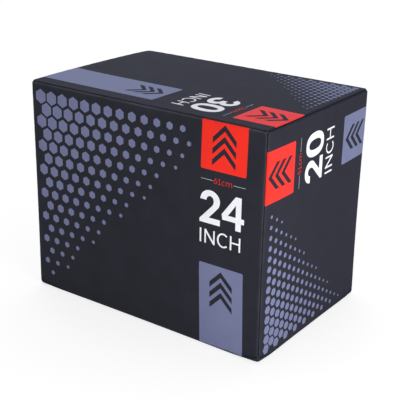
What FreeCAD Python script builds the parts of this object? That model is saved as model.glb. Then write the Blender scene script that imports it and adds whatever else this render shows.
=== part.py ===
import FreeCAD, Part
import Sketcher
import math
import os
import re

# Soft jump box for plyometric training, 24 inches high as it stands.
# A screwed plywood core is wrapped in six foam slabs and a sewn cover.
# A zip round three sides of the rear face lets a flap of the cover swing open.
# X is the width, Y runs from the front to the rear, Z is up.
# The origin is on the floor, under the middle of the box. All sizes are in millimetres.

doc = FreeCAD.newDocument("soft_jump_box")
sheet = doc.addObject("Spreadsheet::Sheet", "sizes")

# Driving sizes, one row of the sheet each
SIZES = [
    ("box_width", 760, "over the left and right faces, 30 inches"),
    ("box_depth", 510, "over the front and rear faces, 20 inches"),
    ("box_height", 610, "over the bottom and top faces, 24 inches"),
    ("edge_radius", 10, "rounding of the sewn edges, outside"),
    ("cover_thickness", 1, "coated cloth of the cover"),
    ("cover_clearance", 0.3, "between the cover and the foam"),
    ("foam_thickness", 40, "each foam slab"),
    ("ply_thickness", 15, "each outer panel of the core"),
    ("divider_thickness", 12, "upright panel in the middle of the core"),
    ("batten_size", 35, "side of a square corner batten"),
    ("screw_length", 40, "over the head"),
    ("screw_diameter", 4, "shank"),
    ("screw_head_diameter", 8, "countersunk head at its top"),
    ("screw_head_height", 3, "countersunk head"),
    ("screw_clearance", 0.1, "between a screw and its hole, all round"),
    ("screw_spacing", 12, "wood left between two screws that cross, and past a screw's tip"),
    ("zip_inset", 45, "from the edges of the rear face to the middle of the zip"),
    ("zip_corner_radius", 45, "turn of the zip's middle line"),
    ("hinge_inset", 90, "from the left edge to the fold that the flap turns on"),
    ("hinge_gap", 0.3, "between the flap and the strip that it is sewn to"),
    ("chain_gap", 1.6, "between the two rows of teeth"),
    ("chain_width", 3, "one row of teeth"),
    ("chain_thickness", 2.6, "one row of teeth"),
    ("chain_setback", 2, "from the fold to the end of a row of teeth"),
    ("tape_width", 14, "woven tape beside one row of teeth"),
    ("tape_thickness", 0.6, "woven tape"),
    ("tape_tail", 8, "woven tape past the end stop"),
    ("stop_length", 3, "end stop, along the zip"),
    ("slider_length", 22, "along the zip"),
    ("slider_plate", 1.4, "outer plate of the slider"),
    ("slider_base", 1.2, "inner plate of the slider"),
    ("slider_flange", 1.3, "side wall of the slider"),
    ("slider_clearance", 0.3, "between the slider and the teeth or tape"),
    ("slider_corner", 3, "rounding of the outer plate's corners"),
    ("wedge_length", 8, "post that joins the slider's plates, along the zip"),
    ("slot_margin", 0.6, "between the slider and the edges of the cover"),
    ("bail_length", 14, "loop on the slider that holds the pull"),
    ("bail_width", 3, "across the zip"),
    ("bail_thickness", 1.2, "top of the loop"),
    ("bail_foot", 1.6, "foot of the loop, along the zip"),
    ("crossbar_diameter", 1.8, "round bar of the pull, inside the loop"),
    ("pull_clearance", 0.4, "between the pull and the loop or the plate"),
    ("pull_arm", 2.1, "side arm of the pull"),
    ("pull_length", 30, "from the crossbar to the tip"),
    ("pull_hole_diameter", 3.5, "hole near the tip of the pull"),
    ("park_gap", 12, "between the fold and the pull when it is laid towards the flap"),
    ("relief_gap", 1, "between the zip's parts and the groove in the rear foam"),
]

for row, (alias, size, note) in enumerate(SIZES, start=1):
    sheet.set(f"A{row}", alias)
    sheet.set(f"B{row}", str(size))
    sheet.set(f"C{row}", note)
    sheet.setAlias(f"B{row}", alias)
doc.recompute()

ALIAS = re.compile(r"\b(" + "|".join(alias for alias, size, note in SIZES) + r")\b")

# Places worked out from the driving sizes
HALF_WIDTH = "(box_width / 2)"
HALF_DEPTH = "(box_depth / 2)"
HALF_HEIGHT = "(box_height / 2)"
REAR = HALF_DEPTH
FOAM_INSET = "(cover_thickness + cover_clearance)"
CORE_INSET = "(cover_thickness + cover_clearance + foam_thickness)"
CORE_X = f"({HALF_WIDTH} - {CORE_INSET})"
CORE_Y = f"({HALF_DEPTH} - {CORE_INSET})"
CORE_BOTTOM = CORE_INSET
CORE_TOP = f"(box_height - {CORE_INSET})"
INNER_X = f"({CORE_X} - ply_thickness)"
INNER_Y = f"({CORE_Y} - ply_thickness)"
INNER_BOTTOM = f"({CORE_BOTTOM} + ply_thickness)"
INNER_TOP = f"({CORE_TOP} - ply_thickness)"

HINGE_X = f"(hinge_inset - {HALF_WIDTH})"
TURN_X = f"({HALF_WIDTH} - zip_inset - zip_corner_radius)"
UPPER_RUN = "(box_height - zip_inset)"
LOWER_RUN = "zip_inset"
CHAIN_EDGE = "(chain_gap / 2 + chain_width)"
SLIDER_HALF = f"({CHAIN_EDGE} + slider_clearance + slider_flange)"
SLOT_HALF = f"({SLIDER_HALF} + slot_margin)"
PARK_X = f"({HINGE_X} - pull_length - park_gap)"
ZIP_END = f"({PARK_X} - slider_length / 2 - slider_clearance - stop_length)"

# Depths below the outer face of the rear cover
TAPE_DEPTH = "cover_thickness"
TAPE_BACK = "(cover_thickness + tape_thickness)"
CHAIN_DEPTH = "(cover_thickness + (tape_thickness - chain_thickness) / 2)"
CHAIN_BACK = "(cover_thickness + (tape_thickness + chain_thickness) / 2)"
PLATE_BACK = f"({CHAIN_DEPTH} - slider_clearance)"
PLATE_FACE = f"({PLATE_BACK} - slider_plate)"
BASE_FACE = f"({CHAIN_BACK} + slider_clearance)"
BASE_BACK = f"({BASE_FACE} + slider_base)"
BAIL_ROOM = "(crossbar_diameter + 2 * pull_clearance)"
BAIL_FACE = f"({PLATE_FACE} - {BAIL_ROOM} - bail_thickness)"
PULL_AXIS = f"({PLATE_FACE} - {BAIL_ROOM} / 2)"


def bind(piece, setting, formula):
    """Ties a setting of a piece to a formula in the sheet's sizes."""
    piece.setExpression(setting, ALIAS.sub(r"sizes.\1", formula))


def place(piece, x, y, z):
    """Ties a piece's place to three formulas."""
    bind(piece, "Placement.Base.x", x)
    bind(piece, "Placement.Base.y", y)
    bind(piece, "Placement.Base.z", z)


def block(name, x_span, y_span, z_span):
    """A box between two formulas on each axis."""
    solid = doc.addObject("Part::Box", name)
    for setting, (low, high) in zip(("Length", "Width", "Height"), (x_span, y_span, z_span)):
        bind(solid, setting, f"({high}) - ({low})")
    place(solid, x_span[0], y_span[0], z_span[0])
    return solid


def fuse(name, pieces):
    solid = doc.addObject("Part::MultiFuse", name)
    solid.Shapes = pieces
    solid.Refine = True
    return solid


def cut(name, base, tool):
    solid = doc.addObject("Part::Cut", name)
    solid.Base = base
    solid.Tool = tool
    return solid


def common(name, base, tool):
    solid = doc.addObject("Part::Common", name)
    solid.Base = base
    solid.Tool = tool
    return solid


def group(name, pieces):
    """Several separate solids in one node."""
    solids = doc.addObject("Part::Compound", name)
    solids.Links = pieces
    return solids


def rounded_block(name, inset):
    """The box's outline set in on all sides, with every edge rounded."""
    body = doc.addObject("PartDesign::Body", name)
    solid = body.newObject("PartDesign::AdditiveBox", f"{name}_block")
    bind(solid, "Length", f"box_width - 2 * {inset}")
    bind(solid, "Width", f"box_depth - 2 * {inset}")
    bind(solid, "Height", f"box_height - 2 * {inset}")
    doc.recompute()
    rounding = body.newObject("PartDesign::Fillet", f"{name}_rounding")
    rounding.Base = (solid, ["Edge1"])
    rounding.UseAllEdges = True
    bind(rounding, "Radius", f"edge_radius - {inset}")
    body.Tip = rounding
    place(body, f"{inset} - {HALF_WIDTH}", f"{inset} - {HALF_DEPTH}", inset)
    return body


# The six faces of the box: the turn that points a slab's thickness outwards,
# the two half sides of the face and the middle of the face
X_AXIS = FreeCAD.Vector(1, 0, 0)
Y_AXIS = FreeCAD.Vector(0, 1, 0)
Z_AXIS = FreeCAD.Vector(0, 0, 1)
QUARTER_TURN = math.pi / 2
PARALLEL_WITHIN = math.radians(1)
FACES = {
    "top": ((X_AXIS, 90), HALF_WIDTH, HALF_DEPTH, ("0", "0", "box_height")),
    "bottom": ((X_AXIS, -90), HALF_WIDTH, HALF_DEPTH, ("0", "0", "0")),
    "front": ((Z_AXIS, 180), HALF_WIDTH, HALF_HEIGHT, ("0", f"-{HALF_DEPTH}", HALF_HEIGHT)),
    "rear": ((Z_AXIS, 0), HALF_WIDTH, HALF_HEIGHT, ("0", HALF_DEPTH, HALF_HEIGHT)),
    "left": ((Z_AXIS, 90), HALF_DEPTH, HALF_HEIGHT, (f"-{HALF_WIDTH}", "0", HALF_HEIGHT)),
    "right": ((Z_AXIS, -90), HALF_DEPTH, HALF_HEIGHT, (HALF_WIDTH, "0", HALF_HEIGHT)),
}


def mitred_slab(name, face):
    """A slab over one face whose four sides lean at 45 degrees through the box's edges."""
    (axis, angle), half_across, half_up, middle = FACES[face]
    slab = doc.addObject("Part::Wedge", name)
    for side, half in (("X", half_across), ("Z", half_up)):
        bind(slab, f"{side}min", f"edge_radius - {half}")
        bind(slab, f"{side}max", f"{half} - edge_radius")
        bind(slab, f"{side}2min", f"-({half} + edge_radius)")
        bind(slab, f"{side}2max", f"{half} + edge_radius")
    bind(slab, "Ymin", "-edge_radius")
    bind(slab, "Ymax", "edge_radius")
    slab.Placement.Rotation = FreeCAD.Rotation(axis, angle)
    place(slab, *middle)
    return slab


def line(sketch, start, end):
    return sketch.addGeometry(Part.LineSegment(FreeCAD.Vector(*start, 0), FreeCAD.Vector(*end, 0)))


def arc(sketch, centre, radius, first, last):
    """An arc between two directions, counted in quarter turns from the sketch's first axis."""
    circle = Part.Circle(FreeCAD.Vector(*centre, 0), Z_AXIS, radius)
    return sketch.addGeometry(Part.ArcOfCircle(circle, first * QUARTER_TURN, last * QUARTER_TURN))


# The points of a sketched line or arc, by the numbers that the sketch's rules know them by
START, END, CENTRE = 1, 2, 3


def zip_outline(name, start_x, outer, inner, depth, thickness):
    """A flat piece that follows the zip's U round the rear face.

    It starts at start_x, and lies between two offsets from the zip's middle line,
    counted outwards. With no inner offset it fills the U. Its outer face is at the
    given depth below the rear cover's outer face.
    """
    body = doc.addObject("PartDesign::Body", name)
    sketch = body.newObject("Sketcher::SketchObject", f"{name}_outline")
    planes = {plane.Role: plane for plane in body.Origin.OriginFeatures}
    sketch.AttachmentSupport = [(planes["XZ_Plane"], "")]
    sketch.MapMode = "FlatFace"

    # A first outline of about the right size, which the sizes below then pull into place
    run = sheet.box_width - 2 * sheet.hinge_inset
    tall = sheet.box_height - 2 * sheet.zip_inset
    radius = sheet.zip_corner_radius
    far, high = run + radius, tall - radius
    bottom = line(sketch, (0, 0), (run, 0))
    low_turn = arc(sketch, (run, radius), radius, 3, 4)
    side = line(sketch, (far, radius), (far, high))
    high_turn = arc(sketch, (run, high), radius, 0, 1)
    top = line(sketch, (run, tall), (0, tall))
    rules = [
        ("Coincident", bottom, START, -1, START),
        ("Horizontal", bottom),
        ("Vertical", side),
        ("Horizontal", top),
        ("Tangent", bottom, END, low_turn, START),
        ("Tangent", low_turn, END, side, START),
        ("Tangent", side, END, high_turn, START),
        ("Tangent", high_turn, END, top, START),
        ("Equal", low_turn, high_turn),
        ("Equal", bottom, top),
    ]
    if inner is None:
        back = line(sketch, (0, tall), (0, 0))
        rules += [("Coincident", top, END, back, START), ("Coincident", back, END, bottom, START)]
    else:
        band = radius / 4
        near = radius - band
        high_end = line(sketch, (0, tall), (0, tall - band))
        inner_top = line(sketch, (0, tall - band), (run, tall - band))
        inner_high = arc(sketch, (run, high), near, 0, 1)
        inner_side = line(sketch, (run + near, high), (run + near, radius))
        inner_low = arc(sketch, (run, radius), near, 3, 4)
        inner_bottom = line(sketch, (run, band), (0, band))
        low_end = line(sketch, (0, band), (0, 0))
        rules += [
            ("Coincident", top, END, high_end, START),
            ("Coincident", high_end, END, inner_top, START),
            ("Coincident", inner_bottom, END, low_end, START),
            ("Coincident", low_end, END, bottom, START),
            ("Vertical", high_end),
            ("Horizontal", inner_top),
            ("Vertical", inner_side),
            ("Horizontal", inner_bottom),
            ("Vertical", low_end),
            ("Coincident", inner_high, CENTRE, high_turn, CENTRE),
            ("Coincident", inner_low, CENTRE, low_turn, CENTRE),
            ("Tangent", inner_top, END, inner_high, END),
            ("Tangent", inner_high, START, inner_side, START),
            ("Tangent", inner_side, END, inner_low, END),
            ("Tangent", inner_low, START, inner_bottom, START),
        ]
    for rule in rules:
        sketch.addConstraint(Sketcher.Constraint(*rule))

    sizes = [
        ("run", ("DistanceX", bottom, START, bottom, END, run), f"{TURN_X} - ({start_x})"),
        ("corner", ("Radius", low_turn, radius), f"zip_corner_radius + ({outer})"),
        ("tall", ("DistanceY", bottom, START, top, END, tall), f"{UPPER_RUN} - {LOWER_RUN} + 2 * ({outer})"),
    ]
    if inner is not None:
        sizes.append(("band", ("DistanceY", high_end, END, high_end, START, band), f"({outer}) - ({inner})"))
    for label, rule, formula in sizes:
        index = sketch.addConstraint(Sketcher.Constraint(*rule))
        sketch.renameConstraint(index, label)
        bind(sketch, f"Constraints.{label}", formula)
    doc.recompute()

    pad = body.newObject("PartDesign::Pad", f"{name}_pad")
    pad.Profile = sketch
    bind(pad, "Length", thickness)
    body.Tip = pad
    place(body, start_x, f"{REAR} - ({depth})", f"{LOWER_RUN} - ({outer})")
    return body


# Screws, each with the hole that it leaves in the wood
DRIVEN = {
    "front": (X_AXIS, -90),
    "rear": (X_AXIS, 90),
    "left": (Y_AXIS, 90),
    "right": (Y_AXIS, -90),
    "top": (X_AXIS, 180),
    "bottom": (X_AXIS, 0),
}


def screw_shape(name, face, spot, room):
    """A countersunk screw driven inwards from one face, or its hole when it is given room."""
    head = doc.addObject("Part::Cone", f"{name}_head")
    bind(head, "Radius1", f"screw_head_diameter / 2 + {room}")
    bind(head, "Radius2", f"screw_diameter / 2 + {room}")
    bind(head, "Height", "screw_head_height")
    shank = doc.addObject("Part::Cylinder", f"{name}_shank")
    bind(shank, "Radius", f"screw_diameter / 2 + {room}")
    bind(shank, "Height", f"screw_length + {room}")
    for piece in (head, shank):
        piece.Placement.Rotation = FreeCAD.Rotation(*DRIVEN[face])
        place(piece, *spot)
    return fuse(name, [head, shank])


# The core's screws go through each panel into the battens and the divider.
# Screws through the sides sit between the tips of the lid screws and those of the front and rear.
BATTEN_X = f"({INNER_X} - batten_size / 2)"
BATTEN_Y = f"({INNER_Y} - batten_size / 2)"
SIDE_SCREW_END = "(screw_length - ply_thickness + screw_spacing)"
FRONT_SCREW_END = f"({SIDE_SCREW_END} + screw_diameter + screw_spacing)"


def levels(end):
    return [f"{INNER_BOTTOM} + {end}", f"{HALF_HEIGHT} + ({end} - {SIDE_SCREW_END})", f"{INNER_TOP} - {end}"]


SCREW_SPOTS = {
    "front": [(x, f"-{CORE_Y}", z) for x in (f"-{BATTEN_X}", "0", BATTEN_X) for z in levels(FRONT_SCREW_END)],
    "rear": [(x, CORE_Y, z) for x in (f"-{BATTEN_X}", "0", BATTEN_X) for z in levels(FRONT_SCREW_END)],
    "left": [(f"-{CORE_X}", y, z) for y in (f"-{BATTEN_Y}", BATTEN_Y) for z in levels(SIDE_SCREW_END)],
    "right": [(CORE_X, y, z) for y in (f"-{BATTEN_Y}", BATTEN_Y) for z in levels(SIDE_SCREW_END)],
    "top": [(x, y, CORE_TOP) for x in (f"-{BATTEN_X}", BATTEN_X) for y in (f"-{BATTEN_Y}", BATTEN_Y)],
    "bottom": [(x, y, CORE_BOTTOM) for x in (f"-{BATTEN_X}", BATTEN_X) for y in (f"-{BATTEN_Y}", BATTEN_Y)],
}

screws = {}
holes = []
for face, spots in SCREW_SPOTS.items():
    screws[face] = []
    for number, spot in enumerate(spots, start=1):
        screws[face].append(screw_shape(f"{face}_screw_{number}", face, spot, "0"))
        holes.append(screw_shape(f"{face}_hole_{number}", face, spot, "screw_clearance"))
screw_holes = group("screw_holes", holes)
group("core_side_screws", screws["front"] + screws["rear"] + screws["left"] + screws["right"])
group("core_lid_screws", screws["top"] + screws["bottom"])

# Plywood core: a top and a bottom over the full plan, a front and a rear, two sides between them,
# an upright divider and a batten in each upright corner
FULL_X = (f"-{CORE_X}", CORE_X)
FULL_Y = (f"-{CORE_Y}", CORE_Y)
WITHIN_Y = (f"-{INNER_Y}", INNER_Y)
WITHIN_Z = (INNER_BOTTOM, INNER_TOP)
WOOD = {
    "core_top_panel": (FULL_X, FULL_Y, (INNER_TOP, CORE_TOP)),
    "core_bottom_panel": (FULL_X, FULL_Y, (CORE_BOTTOM, INNER_BOTTOM)),
    "core_front_panel": (FULL_X, (f"-{CORE_Y}", f"-{INNER_Y}"), WITHIN_Z),
    "core_rear_panel": (FULL_X, (INNER_Y, CORE_Y), WITHIN_Z),
    "core_left_panel": ((f"-{CORE_X}", f"-{INNER_X}"), WITHIN_Y, WITHIN_Z),
    "core_right_panel": ((INNER_X, CORE_X), WITHIN_Y, WITHIN_Z),
    "core_centre_divider": (("-divider_thickness / 2", "divider_thickness / 2"), WITHIN_Y, WITHIN_Z),
}
LEFT_CORNER = (f"-{INNER_X}", f"batten_size - {INNER_X}")
RIGHT_CORNER = (f"{INNER_X} - batten_size", INNER_X)
FRONT_CORNER = (f"-{INNER_Y}", f"batten_size - {INNER_Y}")
REAR_CORNER = (f"{INNER_Y} - batten_size", INNER_Y)
for side, x_span in (("left", LEFT_CORNER), ("right", RIGHT_CORNER)):
    for end, y_span in (("front", FRONT_CORNER), ("rear", REAR_CORNER)):
        WOOD[f"batten_{end}_{side}"] = (x_span, y_span, WITHIN_Z)
for name, spans in WOOD.items():
    cut(name, block(f"{name}_blank", *spans), screw_holes)

# Foam slabs: the top and bottom over the full plan, the front and rear between them,
# the sides in what is left; the block that they make has the cover's rounded edges
foam_block = rounded_block("foam_block", FOAM_INSET)
WHOLE_X = (f"-{HALF_WIDTH}", HALF_WIDTH)
WHOLE_Y = (f"-{HALF_DEPTH}", HALF_DEPTH)
BETWEEN_Z = (CORE_BOTTOM, CORE_TOP)
FOAM = {
    "foam_top": (WHOLE_X, WHOLE_Y, (CORE_TOP, "box_height")),
    "foam_bottom": (WHOLE_X, WHOLE_Y, ("0", CORE_BOTTOM)),
    "foam_front": (WHOLE_X, (f"-{HALF_DEPTH}", f"-{CORE_Y}"), BETWEEN_Z),
    "foam_rear": (WHOLE_X, (CORE_Y, HALF_DEPTH), BETWEEN_Z),
    "foam_left": ((f"-{HALF_WIDTH}", f"-{CORE_X}"), FULL_Y, BETWEEN_Z),
    "foam_right": ((CORE_X, HALF_WIDTH), FULL_Y, BETWEEN_Z),
}
ZIP_SIDE = f"({CHAIN_EDGE} + tape_width + relief_gap)"
zip_groove = zip_outline(
    "zip_groove", f"{ZIP_END} - tape_tail - relief_gap", ZIP_SIDE, f"-{ZIP_SIDE}",
    "0", f"{BASE_BACK} + relief_gap",
)
for name, spans in FOAM.items():
    slab = block(f"{name}_blank", *spans)
    # The zip lies over the three slabs that meet the rear face
    if name in ("foam_top", "foam_bottom", "foam_rear"):
        slab = common(f"{name}_plain", foam_block, slab)
        cut(name, slab, zip_groove)
    else:
        common(name, foam_block, slab)

# Sewn cover: a thin rounded shell, parted along the middle of every edge where the seams lie
outer_block = rounded_block("cover_outside", "0")
inner_block = rounded_block("cover_inside", "cover_thickness")
cover_shell = cut("cover_shell", outer_block, inner_block)
for face in ("top", "bottom", "front", "left", "right"):
    common(f"cover_{face}", cover_shell, mitred_slab(f"{face}_mitre", face))

# Rear of the cover: four strips round a slot for the zip, and the flap inside it
rear_skin = common("rear_skin", cover_shell, mitred_slab("rear_mitre", "rear"))
THROUGH = ("-edge_radius", "2 * edge_radius")
flap_window = zip_outline("flap_window", HINGE_X, SLOT_HALF, None, *THROUGH)
zip_slot = zip_outline("zip_slot", f"{ZIP_END} - slot_margin", SLOT_HALF, f"-{SLOT_HALF}", *THROUGH)
rear_frame = cut("rear_frame", rear_skin, fuse("rear_opening", [flap_window, zip_slot]))
PAST_LEFT = f"-({HALF_WIDTH} + edge_radius)"
PAST_RIGHT = f"({HALF_WIDTH} + edge_radius)"
UPPER_JOIN = f"({UPPER_RUN} - zip_corner_radius)"
LOWER_JOIN = f"({LOWER_RUN} + zip_corner_radius)"
BELOW = "-edge_radius"
ABOVE = "box_height + edge_radius"
SHORT_X = (HINGE_X, TURN_X)
LONG_X = (HINGE_X, PAST_RIGHT)


def strip_blank(name, turn, span_side, near, far, near_span, far_span):
    """A flat blank through the rear face, with a span of its own at each of its two parallel sides."""
    blank = doc.addObject("Part::Wedge", name)
    thick_side = {"X": "Z", "Z": "X"}[span_side]
    for end, (low, high) in (("", near_span), ("2", far_span)):
        bind(blank, f"{span_side}{end}min", low)
        bind(blank, f"{span_side}{end}max", high)
        bind(blank, f"{thick_side}{end}min", "-edge_radius")
        bind(blank, f"{thick_side}{end}max", "edge_radius")
    bind(blank, "Ymin", near)
    bind(blank, "Ymax", far)
    blank.Placement.Rotation = FreeCAD.Rotation(*turn)
    place(blank, "0", REAR, "0")
    return blank


# The strips meet in mitres at the two corners where the zip turns
UPWARDS = (X_AXIS, 90)
SIDEWAYS = (Z_AXIS, -90)
TALL_Z = (BELOW, ABOVE)
STRIPS = {
    "hinge": (SIDEWAYS, "Z", PAST_LEFT, HINGE_X, TALL_Z, TALL_Z),
    "top": (UPWARDS, "X", UPPER_JOIN, ABOVE, SHORT_X, LONG_X),
    "bottom": (UPWARDS, "X", BELOW, LOWER_JOIN, LONG_X, SHORT_X),
    "free": (SIDEWAYS, "Z", TURN_X, PAST_RIGHT, (LOWER_JOIN, UPPER_JOIN), TALL_Z),
}
for name, shape in STRIPS.items():
    common(f"cover_rear_{name}_strip", rear_frame, strip_blank(f"{name}_strip_blank", *shape))
flap_outline = zip_outline("flap_outline", f"{HINGE_X} + hinge_gap", f"-{SLOT_HALF}", None, *THROUGH)
common("cover_rear_flap", rear_skin, flap_outline)

# Zip: two tapes with a row of teeth each, and the tails of the flap's half that run on past the fold
AFTER_FOLD = f"{HINGE_X} + chain_setback"
BEFORE_FOLD = f"{HINGE_X} - chain_setback"
TAPE_END = f"{ZIP_END} - tape_tail"
TEETH_END = f"{ZIP_END} + stop_length"
TAPE_EDGE = f"({CHAIN_EDGE} + tape_width)"
zip_outline("zip_tape_box", TAPE_END, TAPE_EDGE, CHAIN_EDGE, TAPE_DEPTH, "tape_thickness")
zip_outline("zip_tape_flap", AFTER_FOLD, f"-{CHAIN_EDGE}", f"-{TAPE_EDGE}", TAPE_DEPTH, "tape_thickness")
zip_outline("zip_teeth_box", TEETH_END, CHAIN_EDGE, "chain_gap / 2", CHAIN_DEPTH, "chain_thickness")
zip_outline("zip_teeth_flap", AFTER_FOLD, "-chain_gap / 2", f"-{CHAIN_EDGE}", CHAIN_DEPTH, "chain_thickness")


def on_both_runs(name, x_span, near, far, face, back):
    """Two straight pieces, on the upper and the lower run, between two offsets towards the flap."""
    y_span = (f"{REAR} - {back}", f"{REAR} - {face}")
    upper = block(f"{name}_upper", x_span, y_span, (f"{UPPER_RUN} - {far}", f"{UPPER_RUN} - {near}"))
    lower = block(f"{name}_lower", x_span, y_span, (f"{LOWER_RUN} + {near}", f"{LOWER_RUN} + {far}"))
    return group(name, [upper, lower])


on_both_runs("zip_tape_tails", (TAPE_END, BEFORE_FOLD), CHAIN_EDGE, TAPE_EDGE, TAPE_DEPTH, TAPE_BACK)
on_both_runs("zip_teeth_tails", (TEETH_END, BEFORE_FOLD), "chain_gap / 2", CHAIN_EDGE, CHAIN_DEPTH, CHAIN_BACK)
on_both_runs("zip_end_stops", (ZIP_END, TEETH_END), f"(-{CHAIN_EDGE})", CHAIN_EDGE, CHAIN_DEPTH, CHAIN_BACK)


# Slider: two plates joined by a post between the rows of teeth, side walls over and under the tape,
# and a loop for the pull. It is parked past the fold, where the zip is closed.
def about_park(name, x_half, z_span, face, back):
    """A block on the parked slider, centred on it along the zip."""
    x_span = (f"{PARK_X} - {x_half}", f"{PARK_X} + {x_half}")
    y_span = (f"{REAR} - {back}", f"{REAR} - {face}")
    return block(name, x_span, y_span, tuple(f"{UPPER_RUN} + {z}" for z in z_span))


def rounded_plate(name, face, back):
    """A plate of the slider with its four corners rounded."""
    plate = about_park(name, "slider_length / 2", (f"(-{SLIDER_HALF})", SLIDER_HALF), face, back)
    doc.recompute()
    rounding = doc.addObject("Part::Fillet", f"{name}_rounding")
    rounding.Base = plate
    corners = [
        index for index, edge in enumerate(plate.Shape.Edges, start=1)
        if edge.tangentAt(edge.FirstParameter).isParallel(Y_AXIS, PARALLEL_WITHIN)
    ]
    rounding.Edges = [(index, sheet.slider_corner, sheet.slider_corner) for index in corners]
    return rounding


WALL_HALF = "(slider_length / 2 - slider_corner)"
WALL_NEAR = f"({CHAIN_EDGE} + slider_clearance)"
WALL_SPANS = ((WALL_NEAR, SLIDER_HALF), (f"(-{SLIDER_HALF})", f"(-{WALL_NEAR})"))
POST_HALF = "(chain_gap / 2 - slider_clearance)"
slider_pieces = [
    rounded_plate("slider_outer_plate", PLATE_FACE, PLATE_BACK),
    rounded_plate("slider_inner_plate", BASE_FACE, BASE_BACK),
    about_park("slider_post", "wedge_length / 2", (f"(-{POST_HALF})", POST_HALF), PLATE_BACK, BASE_FACE),
]
for number, z_span in enumerate(WALL_SPANS, start=1):
    outer_wall = (PLATE_BACK, f"({TAPE_DEPTH} - slider_clearance)")
    inner_wall = (f"({TAPE_BACK} + slider_clearance)", BASE_FACE)
    slider_pieces.append(about_park(f"slider_outer_wall_{number}", WALL_HALF, z_span, *outer_wall))
    slider_pieces.append(about_park(f"slider_inner_wall_{number}", WALL_HALF, z_span, *inner_wall))
BAIL_SIDES = ("(-bail_width / 2)", "bail_width / 2")
bail_outside = about_park("bail_outside", "bail_length / 2", BAIL_SIDES, BAIL_FACE, PLATE_FACE)
bail_inside = about_park(
    "bail_inside", "(bail_length / 2 - bail_foot)", BAIL_SIDES, f"({BAIL_FACE} + bail_thickness)", PLATE_FACE,
)
slider_pieces.append(cut("slider_bail", bail_outside, bail_inside))
fuse("zip_slider", slider_pieces)

# Pull: a round crossbar inside the loop, two arms past the loop's sides and a grip with a rounded tip
ARM_NEAR = "(bail_width / 2 + pull_clearance)"
ARM_FAR = f"({ARM_NEAR} + pull_arm)"
GRIP_NEAR = "(bail_length / 2 + bail_foot)"
TIP = f"({PARK_X} - pull_length + {ARM_FAR})"
PULL_FACES = (f"{REAR} - {PULL_AXIS} - crossbar_diameter / 2", f"{REAR} - {PULL_AXIS} + crossbar_diameter / 2")
crossbar = doc.addObject("Part::Cylinder", "pull_crossbar")
bind(crossbar, "Radius", "crossbar_diameter / 2")
bind(crossbar, "Height", f"2 * {ARM_FAR}")
place(crossbar, PARK_X, f"{REAR} - {PULL_AXIS}", f"{UPPER_RUN} - {ARM_FAR}")
arms = [
    block(f"pull_arm_{number}", (f"{PARK_X} - {GRIP_NEAR}", PARK_X), PULL_FACES, z_span)
    for number, z_span in enumerate((
        (f"{UPPER_RUN} + {ARM_NEAR}", f"{UPPER_RUN} + {ARM_FAR}"),
        (f"{UPPER_RUN} - {ARM_FAR}", f"{UPPER_RUN} - {ARM_NEAR}"),
    ), start=1)
]
grip = block(
    "pull_grip", (TIP, f"{PARK_X} - {GRIP_NEAR}"), PULL_FACES,
    (f"{UPPER_RUN} - {ARM_FAR}", f"{UPPER_RUN} + {ARM_FAR}"),
)


def across_pull(name, radius):
    """A round piece through the pull's thickness, at the middle of its tip."""
    disc = doc.addObject("Part::Cylinder", name)
    disc.Placement.Rotation = FreeCAD.Rotation(X_AXIS, 90)
    bind(disc, "Radius", radius)
    bind(disc, "Height", "crossbar_diameter")
    place(disc, TIP, f"{REAR} - {PULL_AXIS} + crossbar_diameter / 2", UPPER_RUN)
    return disc


pull_solid = fuse("pull_solid", [crossbar, *arms, grip, across_pull("pull_tip", ARM_FAR)])
cut("zip_pull", pull_solid, across_pull("pull_hole", "pull_hole_diameter / 2"))

NODES = [*WOOD, "core_side_screws", "core_lid_screws", *FOAM]
NODES += [f"cover_{face}" for face in ("top", "bottom", "front", "left", "right")]
NODES += [f"cover_rear_{name}_strip" for name in STRIPS]
NODES += ["cover_rear_flap", "zip_tape_box", "zip_tape_flap", "zip_tape_tails"]
NODES += ["zip_teeth_box", "zip_teeth_flap", "zip_teeth_tails", "zip_end_stops", "zip_slider", "zip_pull"]

doc.recompute()
for piece in doc.Objects:
    if "Invalid" in piece.State or "Error" in piece.State:
        raise RuntimeError(f"{piece.Name} could not be built: {piece.State}")
for name in NODES:
    shape = doc.getObject(name).Shape
    if shape.isNull() or not shape.isValid() or shape.Volume <= 0:
        raise RuntimeError(f"{name} has no sound solid")

os.makedirs("parts", exist_ok=True)
for name in NODES:
    piece = doc.getObject(name)
    piece.Label = name
    piece.Shape.exportStep(f"parts/{name}.step")
    print(name, len(piece.Shape.Solids), round(piece.Shape.Volume, 1), piece.Shape.BoundBox)
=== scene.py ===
"""A soft jump box: the looks of its sewn cover, prints, zip, stitches, foam and core, built round its frame.

Everything is in metres in the frame's own axes: X along the width, Y from front to rear, Z up, with the
origin on the floor under the middle of the box. Surfaces are worked out with numpy as whole grids of points.
"""

from math import ceil, pi, radians, sqrt

import bpy
import numpy as np
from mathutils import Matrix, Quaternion, Vector


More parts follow.
